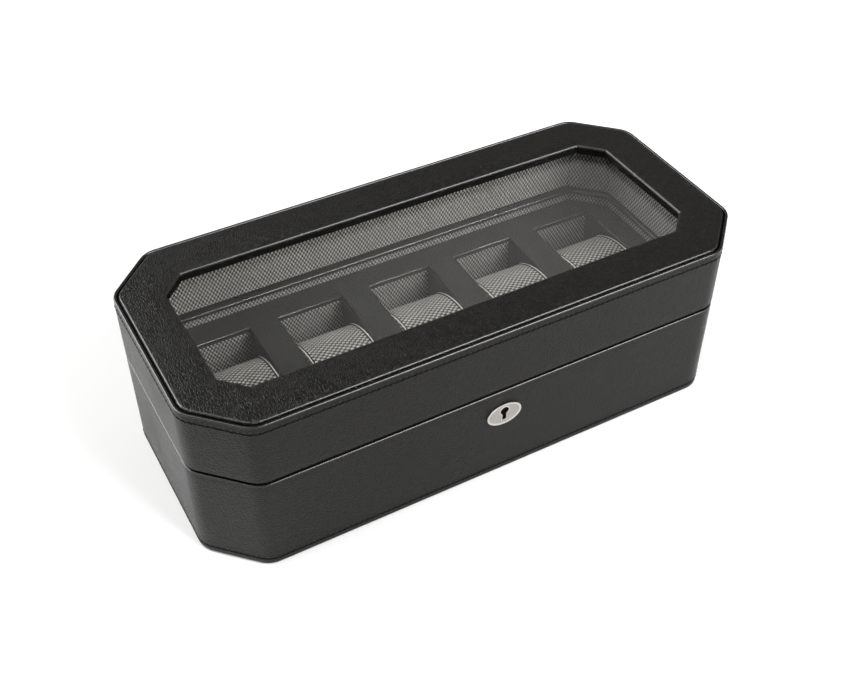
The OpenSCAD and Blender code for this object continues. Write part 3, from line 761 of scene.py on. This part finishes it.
class LidTopOperator(Operator):
    """Pad the lid's top border, with rolled edges round the window"""

    bl_idname = "watch_box.lid_top"
    bl_label = "Padded top border"

    def execute(self, context):
        case = context.scene.watch_box_case
        top, roll = PAD_HIGH.z, case.window_roll
        pad_low, t = PAD_HIGH.z - PAD_HEIGHT, case.leather
        hem, rolled = case.pad_edge, 1.5 * MM
        outer, inner = outline(case, hem + rolled), window(case, roll)
        drop_out, drop_in = 0.15 * MM, 0.45 * MM
        groove, start, glass = pad_low + 0.4 * MM, case.lip + 0.1 * MM, GLASS_HIGH.z + 0.05 * MM
        profile = [(outline(case, start), pad_low), (outline(case, start), groove), (outline(case, hem), groove)]
        profile += [(outline(case, x), z) for x, z in arc(hem + rolled, top - drop_out - rolled, rolled, 180, 90)]
        steps, crest = 14, 0.625
        for k in range(1, steps):
            s = k / steps
            if s < crest:
                height = drop_out * (math.sin(math.pi / 2 * s / crest) - 1)
            else:
                height = drop_in * (math.cos(math.pi / 2 * (s - crest) / (1 - crest)) - 1)
            profile.append((mixed(outer, inner, s), top + height))
        profile += [(window(case, roll - x), top - drop_in - roll + z) for x, z in quarter(roll)]
        profile += [(window(case, 0), GLASS_HIGH.z + 2 * MM), (window(case, 0), glass),
                    (window(case, t), glass), (window(case, t), pad_low)]
        bm = sweep(profile)
        around = len(bm.verts) // len(profile)
        # The groove's faces and the window's inner drop take the darker leather, painted shade.
        groove_and_drop = (0, 1, len(profile) - 5, len(profile) - 4)
        for k, face in enumerate(bm.faces):
            if k // around in groove_and_drop:
                face.material_index = 1
        roughened(bm, case.unevenness * 1.3, 16 * MM, 9.0)
        o = finish_mesh(bm, "lid_top_pad")
        place_piece(o, "top_leather+turned_leather", "black_leather", "lid", "lid_top_leather")
        return {"FINISHED"}


class RimOperator(Operator):
    """Cover the rims of base and lid with strips rolled over their inner edges"""

    bl_idname = "watch_box.rims"
    bl_label = "Rims"

    def execute(self, context):
        case = context.scene.watch_box_case
        edge, strip, roll, cloth = case.seam_edge, case.rim, case.rim_roll, case.lining
        reach, drop = case.rim_reach, case.rim_drop
        lock_low, lock_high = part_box("lock_cover")
        above, below = SEAM_HIGH + LEAF_ROOM, SEAM_LOW - OVER

        profile = [(mixed(outline(case, edge), well(case, roll - reach), k / 4), SEAM_LOW) for k in range(4)]
        profile += [(well(case, roll - x - reach), SEAM_LOW - roll + z) for x, z in quarter(roll)]
        low, chamfer = SEAM_LOW - drop, 0.3 * MM
        profile += [(well(case, -reach), low + chamfer), (well(case, chamfer - reach), low),
                    (well(case, cloth), low), (well(case, cloth), SEAM_LOW - strip),
                    (outline(case, edge), SEAM_LOW - strip)]
        o = finish_mesh(sweep(profile), "base_rim")
        boxes, barrels = hinge_rooms(SEAM_LOW - LEAF_ROOM, SEAM_HIGH + OVER)
        boxes.append((lock_low, (lock_high.x, lock_high.y, SEAM_HIGH + OVER)))
        cut(o, cutter(boxes, barrels))
        place_piece(o, "rim_leather", "rim_leather", "base", "base_rim_trim")

        inner = case.lid_wall
        profile = [(outline(case, edge + (inner - roll - edge) * k / 4), SEAM_HIGH) for k in range(4)]
        profile += [(outline(case, inner - roll + x), SEAM_HIGH + roll - z) for x, z in quarter(roll)]
        profile += [(outline(case, inner - cloth), SEAM_HIGH + roll),
                    (outline(case, inner - cloth), SEAM_HIGH + strip), (outline(case, edge), SEAM_HIGH + strip)]
        o = finish_mesh(sweep(profile), "lid_rim")
        boxes, barrels = hinge_rooms(below, above)
        boxes.append(((lock_low.x, lock_low.y, below), (lock_high.x, lock_high.y, above)))
        cut(o, cutter(boxes, barrels))
        place_piece(o, "rim_leather", "rim_leather", "lid", "lid_rim_trim")
        return {"FINISHED"}


class LiningOperator(Operator):
    """Line the lid, the base and the places with diamond cloth"""

    bl_idname = "watch_box.linings"
    bl_label = "Cloth linings"

    def execute(self, context):
        case = context.scene.watch_box_case
        wall, cloth, roll, soft = case.lid_wall, case.lining, case.rim_roll, 0.4 * MM
        low, high = SEAM_HIGH + 0.15 * MM, GLASS_LOW.z - 0.05 * MM
        back, inner = wall - cloth, wall - cloth + case.padding
        points = [(inner, low + soft), (inner, high), (back, high), (back, low + roll),
                  (wall + HAIR, low + roll), (wall + HAIR, low), (inner - soft, low)]
        o = finish_mesh(sweep([(outline(case, inset), z) for inset, z in points]), "lid_lining_cloth", 20)
        place_piece(o, "lining_cloth", "diamond_cloth", "lid", "lid_lining")

        low, high, back = FLOOR_TOP, SEAM_LOW - case.rim_drop, 0.5 * cloth
        points = [(back, low), (back, high), (cloth, high), (cloth, low)]
        o = finish_mesh(sweep([(well(case, grow), z) for grow, z in points]), "base_lining_cloth", 20)
        place_piece(o, "lining_cloth", "diamond_cloth", "base", "base_well_lining")

        low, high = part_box("tray_wall_linings")
        bm = bmesh.new()
        bm.loops.layers.uv.new("cloth")
        high.z -= 1.4 * MM
        for i in PLACE_NUMBERS:
            x0, x1 = place_edges(i)
            box_mesh(bm, (x0, low.y, low.z), (x1, low.y + back, high.z))
            box_mesh(bm, (x0, high.y - back, low.z), (x1, high.y, high.z))
        o = finish_mesh(bm, "place_lining_cloth", 20)
        place_piece(o, "lining_cloth", "diamond_cloth", "base", "tray_wall_linings")
        return {"FINISHED"}


def place_edges(i):
    """Left and right edge of place i, between its two neighbours."""
    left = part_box("tray_divider_%d" % (i - 1))[1].x if i > 1 else None
    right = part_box("tray_divider_%d" % i)[0].x if i < PLACES else None
    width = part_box("tray_divider_2")[0].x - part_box("tray_divider_1")[1].x
    return (left if left is not None else right - width), (right if right is not None else left + width)


class TrayOperator(Operator):
    """Cover the tray's top in suede cloth, with soft edges round the places"""

    bl_idname = "watch_box.tray"
    bl_label = "Tray top"

    def execute(self, context):
        case = context.scene.watch_box_case
        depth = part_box("tray_wall_linings")[1].y - case.lining
        bm = bmesh.new()
        rings = [[bm.verts.new((p.x, p.y, z)) for p in octagon(well(case, 0))]
                 for z in (PANEL_LOW.z, PANEL_HIGH.z)]
        join_rings(bm, *rings)
        cap_rings(bm, rings)
        bmesh.ops.dissolve_limit(bm, angle_limit=math.radians(1), verts=bm.verts, edges=bm.edges)
        o = finish_mesh(bm, "tray_cloth")
        for name in ("suede_cloth", "rim_leather"):
            o.data.materials.append(bpy.data.materials[name])
        boxes = []
        for i in PLACE_NUMBERS:
            x0, x1 = place_edges(i)
            boxes.append(((x0, -depth, PANEL_LOW.z - MM), (x1, depth, PANEL_HIGH.z + MM)))
        cut(o, cutter(boxes))
        soften = o.modifiers.new("soft edge", "BEVEL")
        soften.width = 0.8 * MM
        soften.material = 1
        soften.segments = 3
        soften.limit_method = "ANGLE"
        soften.angle_limit = math.radians(50)
        settle(o)
        o.data.shade_smooth()
        o.data.set_sharp_from_angle(angle=CUT_ANGLE)
        place_piece(o, "suede_cloth+rim_leather", "suede_cloth", "base", "tray_top_panel")
        return {"FINISHED"}


def section_arcs(sizes, half_height):
    """The oval section's arcs: the crowns' centre distance, the nose's y, the crown's half angle, both lengths."""
    drop = sizes.crown - half_height
    nose_y = math.sqrt((sizes.crown - sizes.nose) ** 2 - drop ** 2)
    span = math.atan2(nose_y, drop)
    return drop, nose_y, span, sizes.crown * span, sizes.nose * (math.pi - 2 * span)


def section_point(sizes, half_height, s, scale=1.0):
    """Point (y, z) at distance s round the cushion's oval section, from the middle of its top."""
    crown, nose = sizes.crown, sizes.nose
    drop, nose_y, span, top, side = section_arcs(sizes, half_height)
    s, sign = abs(s), math.copysign(1, s)
    if s <= top:
        y, z = crown * math.sin(s / crown), crown * math.cos(s / crown) - drop
    elif s <= top + side:
        a = span + (s - top) / nose
        y, z = nose_y + nose * math.sin(a), nose * math.cos(a)
    else:
        a = (2 * top + side - s) / crown
        y, z = crown * math.sin(a), drop - crown * math.cos(a)
    return sign * y * scale, z * scale


def section_length(sizes, half_height):
    """Distance from the middle of the cushion's top round to the middle of its bottom."""
    *_, top, side = section_arcs(sizes, half_height)
    return 2 * top + side


def section_place(sizes, half_height, y, z):
    """Distance round the section of the point nearest to (y, z)."""
    crown, nose = sizes.crown, sizes.nose
    drop, nose_y, span, top, side = section_arcs(sizes, half_height)
    a = math.atan2(abs(y), abs(z) + drop)
    if a <= span:
        s = crown * a if z > 0 else 2 * top + side - crown * a
    else:
        s = top + nose * (math.atan2(abs(y) - nose_y, z) - span)
    return math.copysign(s, y)


def swollen(o, sizes, held):
    """Blows a cover up with Cloth, holding the points that held() picks, and caps how far points move."""
    start = [v.co.copy() for v in o.data.vertices]
    group = o.vertex_groups.new(name="held")
    group.add([v.index for v in o.data.vertices if held(v.co)], 1.0, "REPLACE")
    cloth = o.modifiers.new("cover", "CLOTH")
    cloth.settings.use_pressure = True
    cloth.settings.uniform_pressure_force = sizes.pressure
    cloth.settings.effector_weights.gravity = 0
    cloth.settings.vertex_group_mass = "held"
    cloth.point_cache.frame_start, cloth.point_cache.frame_end = 1, CLOTH_FRAMES
    scene = bpy.context.scene
    for number in range(1, CLOTH_FRAMES + 1):
        scene.frame_set(number)
    settle(o)
    scene.frame_set(1)
    for v, old in zip(o.data.vertices, start):
        move = v.co - old
        if move.length > sizes.swell:
            v.co = old + move.normalized() * sizes.swell
    o.vertex_groups.clear()


def cushion_cover(sizes, half, half_height):
    """One cushion's cover about its own middle: close quads with crisp ends, blown up, flat where it rests."""
    count, slices, end = 76, 14, half - 0.25 * MM
    reach = section_length(sizes, half_height)
    cap = [(end, scale) for scale in (0.08, 0.3, 0.52, 0.72, 0.88, 0.965)]
    cap += [(end - 0.12 * MM, 0.99), (end - 0.7 * MM, 1.0)]
    flat = end - 2.4 * MM
    across = [(-x, scale) for x, scale in cap]
    across += [(flat * (2 * k / slices - 1), 1.0) for k in range(slices + 1)]
    across += list(reversed(cap))
    bm = bmesh.new()
    rings = []
    for x, scale in across:
        ring = [section_point(sizes, half_height, reach * (2 * n / count - 1), sizes.start * scale)
                for n in range(count)]
        rings.append([bm.verts.new((x, y, z)) for y, z in ring])
    for a, b in zip(rings, rings[1:]):
        join_rings(bm, a, b)
    cap_rings(bm, rings)
    o = finish_mesh(bm, "cushion")
    swollen(o, sizes, lambda p: abs(p.x) > end - 0.9 * MM)
    smooth = o.modifiers.new("finer", "SUBSURF")
    smooth.levels = smooth.render_levels = 1
    settle(o)
    for v in o.data.vertices:
        v.co.z = max(v.co.z, -half_height)
        v.co.x = max(-half, min(half, v.co.x))
    return o


def cloth_map(o, sizes, half_height):
    """UVs in metres: along the cushion's width and round its section, and flat on its two ends."""
    reach = section_length(sizes, half_height)
    layer = o.data.uv_layers.new(name="cloth")
    for face in o.data.polygons:
        points = [o.data.vertices[v].co for v in face.vertices]
        if abs(face.normal.x) > END_FACE:
            places = [(p.y, p.z) for p in points]
        else:
            around = [section_place(sizes, half_height, p.y, p.z) for p in points]
            if max(around) - min(around) > reach:
                around = [s if s > 0 else s + 2 * reach for s in around]
            places = [(p.x, s) for p, s in zip(points, around)]
        for k, place in zip(face.loop_indices, places):
            layer.data[k].uv = place


def piping_mesh(sizes, half_height, xs, middle):
    """Rings of piping round the cushion's section at each x."""
    bm = bmesh.new()
    count, sides, r = 96, 8, sizes.piping
    reach = section_length(sizes, half_height)
    for x in xs:
        rings = []
        for n in range(count):
            s = reach * (2 * n / count - 1)
            y, z = section_point(sizes, half_height, s, sizes.start)
            near = section_point(sizes, half_height, s, sizes.start * 0.9)
            out = Vector((0, y - near[0], z - near[1])).normalized()
            centre = Vector((x, y, z)) + out * 0.3 * r
            rings.append([bm.verts.new(centre + r * (math.cos(a) * out + math.sin(a) * Vector((1, 0, 0))) + middle)
                          for a in (k * math.tau / sides for k in range(sides))])
        for a, b in zip(rings, rings[1:] + rings[:1]):
            join_rings(bm, a, b)
    return bm


class CushionOperator(Operator):
    """Make the five stuffed watch cushions and their piping"""

    bl_idname = "watch_box.cushions"
    bl_label = "Watch cushions"

    def execute(self, context):
        sizes = context.scene.watch_box_cushions
        low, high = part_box("cushion_1_cover")
        half, half_height = (high.x - low.x) / 2, (high.z - low.z) / 2
        master = cushion_cover(sizes, half, half_height)
        cloth_map(master, sizes, half_height)
        rng = random.Random(11)
        dent, dent_size = 0.35 * MM, 14 * MM
        for i in PLACE_NUMBERS:
            low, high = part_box("cushion_%d_cover" % i)
            middle = (low + high) / 2
            mesh = master.data.copy()
            seed = Vector([rng.uniform(0, 50) for _ in range(3)])
            for v in mesh.vertices:
                p = v.co
                fade = max(0.0, 1 - (abs(p.x) / half) ** 4)
                v.co = p + p.normalized() * dent * fade * noise.noise(p / dent_size + seed) + middle
            o = smoothed(mesh, "cushion_%d" % i, 60)
            place_piece(o, "cushion_cloth", "cushion_cloth", "cushion_%d" % i,
                        "cushion_%d_cover" % i, "cushion_%d_core" % i)
            edge, apart = half - 0.6 * MM, 0.85 * MM
            # The seam ring is a dark cord of thread finish just inboard of each piping; its darkness is painted
            # shade of the seam's groove.
            for name, xs, finish in (("piping", (-edge, edge), "piping"),
                                     ("seam", (apart - edge, edge - apart), "thread")):
                bm = piping_mesh(sizes, half_height, xs, middle)
                cord = finish_mesh(bm, "cushion_%d_%s" % (i, name), 60)
                place_piece(cord, finish, "cushion_cloth", "cushion_%d" % i)
        bpy.data.objects.remove(master)
        return {"FINISHED"}


def plate_middle():
    return Vector(((PLATE_LOW.x + PLATE_HIGH.x) / 2, PLATE_LOW.y, (PLATE_LOW.z + PLATE_HIGH.z) / 2))


def keyhole_outline(plate, grow=0.0):
    """Points (x, z) of the keyhole, anticlockwise from its top, about the plate's middle."""
    r, neck = plate.key_radius + grow, plate.key_neck + grow
    foot, drop = plate.key_foot + grow, plate.key_drop + grow
    arc_steps, side_steps, foot_steps = 22.5, 8, 3
    reach = math.pi - math.asin(neck / r)
    slot_top = -math.sqrt(r ** 2 - neck ** 2)
    left = []
    for k in range(math.ceil(arc_steps)):
        a = math.pi / 2 + reach * k / arc_steps
        left.append((r * math.cos(a), r * math.sin(a)))
    left += [mixed((-neck, slot_top), (-foot, -drop), k / side_steps) for k in range(1, side_steps + 1)]
    left += [mixed((-foot, -drop), (0.0, -drop), k / foot_steps) for k in range(1, foot_steps + 1)]
    right = [(-x, z) for x, z in reversed(left[1:-1])]
    return [(x, z + plate.key_rise) for x, z in left + right]


class KeyholePlateOperator(Operator):
    """Make the oval keyhole plate with a raised rim and a bevelled keyhole"""

    bl_idname = "watch_box.keyhole_plate"
    bl_label = "Keyhole plate"

    def execute(self, context):
        plate = context.scene.watch_box_plate
        middle = plate_middle()
        half_l, half_h = (PLATE_HIGH.x - PLATE_LOW.x) / 2, (PLATE_HIGH.z - PLATE_LOW.z) / 2
        front, back = PLATE_LOW.y, -HALF_W + 0.02 * MM
        thick = back - front
        hole = keyhole_outline(plate)
        count = len(hole)

        def even(inset):
            return [((half_l - inset) * math.cos(math.pi / 2 + math.tau * n / count),
                     (half_h - inset) * math.sin(math.pi / 2 + math.tau * n / count)) for n in range(count)]

        def bevel(grow):
            return keyhole_outline(plate, grow)

        rim, recess = plate.rim, plate.recess
        rings = [(even(0.7 * MM), back), (even(0.7 * MM), back - 0.4 * thick), (even(0), front + 0.5 * thick),
                 (even(0.15 * MM), front + 0.12 * thick), (even(0.4 * MM), front),
                 (even(rim - 0.25 * MM), front), (even(rim), front + recess * 0.6),
                 (even(rim + 0.2 * MM), front + recess), (bevel(0.75 * MM), front + recess),
                 (bevel(0.45 * MM), front + recess * 0.5), (bevel(0.2 * MM), front + recess * 0.6),
                 (hole, front + recess * 2.2), (hole, back)]
        bm = bmesh.new()
        loops = [[bm.verts.new((middle.x + x, y, middle.z + z)) for x, z in points] for points, y in rings]
        # Faces outside the field take the lighter nickel, painted highlight on the rim and keyhole border.
        for k, (a, b) in enumerate(zip(loops, loops[1:] + loops[:1])):
            join_rings(bm, a, b)
            bm.faces.ensure_lookup_table()
            for face in bm.faces[-count:]:
                face.material_index = 0 if k == FIELD_RING else 1
        o = finish_mesh(bm, "keyhole_oval", 35)
        place_piece(o, "satin_nickel+polished_nickel", "satin_nickel", "base", "keyhole_plate")
        return {"FINISHED"}


def build_stitch_tree():
    """Geometry Nodes: stitches along a closed line, a little uneven."""
    tree, ins, outs = new_group(
        "stitch_line", "GeometryNodeTree",
        [("Geometry", "NodeSocketGeometry", None), ("Pitch", "NodeSocketFloat", 3.6 * MM),
         ("Length", "NodeSocketFloat", 2.7 * MM), ("Thickness", "NodeSocketFloat", 1.4 * MM),
         ("Tilt", "NodeSocketFloat", 0.12), ("Seed", "NodeSocketInt", 4), ("Thread", "NodeSocketMaterial", None)],
        [("Geometry", "NodeSocketGeometry")])
    line = add(tree, "GeometryNodeMeshToCurve", {0: ins["Geometry"]})
    even = add(tree, "GeometryNodeResampleCurve", {"Curve": line.outputs[0], "Length": ins["Pitch"]},
               mode="LENGTH")
    bead = add(tree, "GeometryNodeMeshUVSphere", {"Segments": 8, "Rings": 5, "Radius": 0.5})
    size = add(tree, "ShaderNodeCombineXYZ", {0: ins["Length"], 1: ins["Thickness"], 2: ins["Thickness"]})
    along = add(tree, "GeometryNodeInputTangent")
    turn = add(tree, "FunctionNodeAlignRotationToVector", {"Vector": along.outputs[0]}, axis="X")
    low, high, value = 2, 3, 1  # the random value node's own sockets for a float
    stray = add(tree, "FunctionNodeRandomValue", {low: -1.0, high: 1.0, "Seed": ins["Seed"]}, data_type="FLOAT")
    lean = maths(tree, "MULTIPLY", maths(tree, "MULTIPLY_ADD", stray.outputs[value], 0.5, 1.0), ins["Tilt"])
    roll = add(tree, "ShaderNodeCombineXYZ", {1: lean})
    tilt = add(tree, "FunctionNodeEulerToRotation", {0: roll.outputs[0]})
    whole = add(tree, "FunctionNodeRotateRotation", {0: turn.outputs[0], 1: tilt.outputs[0]},
                rotation_space="LOCAL")
    laid = add(tree, "GeometryNodeInstanceOnPoints", {"Points": even.outputs[0], "Instance": bead.outputs[0],
                                                      "Rotation": whole.outputs[0], "Scale": size.outputs[0]})
    real = add(tree, "GeometryNodeRealizeInstances", {0: laid.outputs[0]})
    dressed = add(tree, "GeometryNodeSetMaterial", {"Geometry": real.outputs[0], "Material": ins["Thread"]})
    tree.links.new(dressed.outputs[0], outs["Geometry"])
    return tree


class StitchOperator(Operator):
    """Lay the stitched lines round the lid's top and the base's foot"""

    bl_idname = "watch_box.stitches"
    bl_label = "Stitched lines"

    def execute(self, context):
        case, sizes = context.scene.watch_box_case, context.scene.watch_box_stitches
        tree = build_stitch_tree()
        lines = {"lid": PAD_HIGH.z - sizes.lid_line, "base": sizes.base_line}
        for body, z in lines.items():
            ring = octagon(outline(case, 0.2 * sizes.thread))
            edges = [(i, (i + 1) % len(ring)) for i in range(len(ring))]
            mesh = bpy.data.meshes.new("stitch_path")
            mesh.from_pydata([(p.x, p.y, z) for p in ring], edges, [])
            path = new_object("stitch_path", mesh)
            change = path.modifiers.new("stitches", "NODES")
            change.node_group = tree
            values = {"Pitch": sizes.pitch, "Length": sizes.stitch, "Thickness": sizes.thread, "Tilt": 0.12,
                      "Seed": sizes.seed, "Thread": bpy.data.materials["thread"]}
            for item in tree.interface.items_tree:
                if item.in_out == "INPUT" and item.name in values:
                    change[item.identifier] = values[item.name]
            settle(path)
            path.name = path.data.name = body + "_stitches"
            path.data.shade_smooth()
            place_piece(path, "thread", "black_leather", body)
        return {"FINISHED"}


class StudioOperator(Operator):
    """Set up the camera, the pale floor and the soft lights"""

    bl_idname = "watch_box.studio"
    bl_label = "Studio"

    def execute(self, context):
        studio, scene = context.scene.watch_box_studio, context.scene
        aim = Vector(studio.aim)
        back = Vector((math.sin(studio.azimuth) * math.cos(studio.elevation),
                       -math.cos(studio.azimuth) * math.cos(studio.elevation), math.sin(studio.elevation)))
        camera = bpy.data.objects.new("camera", bpy.data.cameras.new("camera"))
        scene.collection.objects.link(camera)
        camera.data.lens = studio.lens
        camera.data.clip_start, camera.data.clip_end = 0.01, 50
        camera.location = aim + back * studio.distance
        camera.rotation_mode = "QUATERNION"
        camera.rotation_quaternion = (-back).to_track_quat("-Z", "Y")
        scene.camera = camera

        reach = studio.floor
        mesh = bpy.data.meshes.new("floor")
        corners = [(-reach, -reach, 0), (reach, -reach, 0), (reach, reach, 0), (-reach, reach, 0)]
        mesh.from_pydata(corners, [], [(0, 1, 2, 3)])
        floor = new_object("floor", mesh)
        tree, shader, where = new_finish("floor")
        even = use_group(tree, "handling", {"Vector": where["Object"], "Scale": 3.0})
        pale = blend_colour(tree, even["Tone"], (0.90, 0.90, 0.90, 1), (0.92, 0.92, 0.92, 1))
        feed(tree, shader, {"Base Color": pale, "Roughness": 0.9, "Specular IOR Level": 0.1})
        mesh.materials.append(bpy.data.materials["floor"])

        world = bpy.data.worlds.new("studio")
        scene.world = world
        world.use_nodes = True
        sky = world.node_tree.nodes["Background"]
        sky.inputs[0].default_value = (1.0, 0.985, 0.955, 1.0)
        tree = world.node_tree
        towards = add(tree, "ShaderNodeTexCoord").outputs["Generated"]
        near = add(tree, "ShaderNodeVectorMath", {0: towards, 1: Vector(studio.haze).normalized()},
                   operation="DOT_PRODUCT")
        glow = add(tree, "ShaderNodeMapRange",
                   {"Value": near.outputs["Value"], "From Min": 0.93, "From Max": 0.99,
                    "To Min": studio.sky, "To Max": studio.sky + studio.haze_glow},
                   interpolation_type="SMOOTHSTEP")
        tree.links.new(glow.outputs[0], sky.inputs[1])

        lamps = (
            ("key", (0.62, -1.05, 1.06), (1.0, 0.6), 33.0),
            ("left", (-1.25, 1.15, 0.95), (1.5, 1.1), 35.0),
        )
        for name, place, size, watts in lamps:
            lamp = bpy.data.lights.new(name, "AREA")
            lamp.shape = "RECTANGLE"
            lamp.size, lamp.size_y = size
            lamp.energy = watts
            self.hang(scene, name, lamp, Vector(place))
        sun = bpy.data.lights.new("daylight", "SUN")
        sun.energy = 1.3
        sun.angle = math.radians(55)
        self.hang(scene, "daylight", sun, Vector((-0.9, 0.2, 1.6)))
        scene.view_settings.view_transform = "Standard"
        return {"FINISHED"}

    @staticmethod
    def hang(scene, name, lamp, place):
        o = bpy.data.objects.new(name, lamp)
        scene.collection.objects.link(o)
        o.location = place
        o.rotation_mode = "QUATERNION"
        o.rotation_quaternion = (Vector((0, 0, 0.05)) - place).to_track_quat("-Z", "Y")


OPERATORS = (StudioOperator, FinishOperator, BaseLeatherOperator, LidLeatherOperator, LidTopOperator, RimOperator,
             LiningOperator, TrayOperator, CushionOperator, KeyholePlateOperator, StitchOperator)


class WatchBoxPanel(Panel):
    """Buttons for every piece of the watch box"""

    bl_idname = "VIEW3D_PT_watch_box"
    bl_label = "Watch box"
    bl_space_type = "VIEW_3D"
    bl_region_type = "UI"
    bl_category = "Watch box"

    def draw(self, context):
        for kind in OPERATORS:
            self.layout.operator(kind.bl_idname)
        for name, kind in GROUPS.items():
            part = self.layout.box()
            part.label(text=name.capitalize())
            held = getattr(context.scene, "watch_box_" + name)
            for key in kind.__annotations__:
                part.prop(held, key)


def register():
    for kind in (*GROUPS.values(), *OPERATORS, WatchBoxPanel):
        bpy.utils.register_class(kind)
    for name, kind in GROUPS.items():
        setattr(bpy.types.Scene, "watch_box_" + name, PointerProperty(type=kind))


def unregister():
    for name in GROUPS:
        delattr(bpy.types.Scene, "watch_box_" + name)
    for kind in reversed((*GROUPS.values(), *OPERATORS, WatchBoxPanel)):
        bpy.utils.unregister_class(kind)


def main():
    register()
    bpy.ops.watch_box.finishes()
    bpy.ops.watch_box.studio()
    bpy.ops.watch_box.base_leather()
    bpy.ops.watch_box.lid_leather()
    bpy.ops.watch_box.lid_top()
    bpy.ops.watch_box.rims()
    bpy.ops.watch_box.linings()
    bpy.ops.watch_box.tray()
    bpy.ops.watch_box.cushions()
    bpy.ops.watch_box.keyhole_plate()
    bpy.ops.watch_box.stitches()


if __name__ == "__main__":
    main()
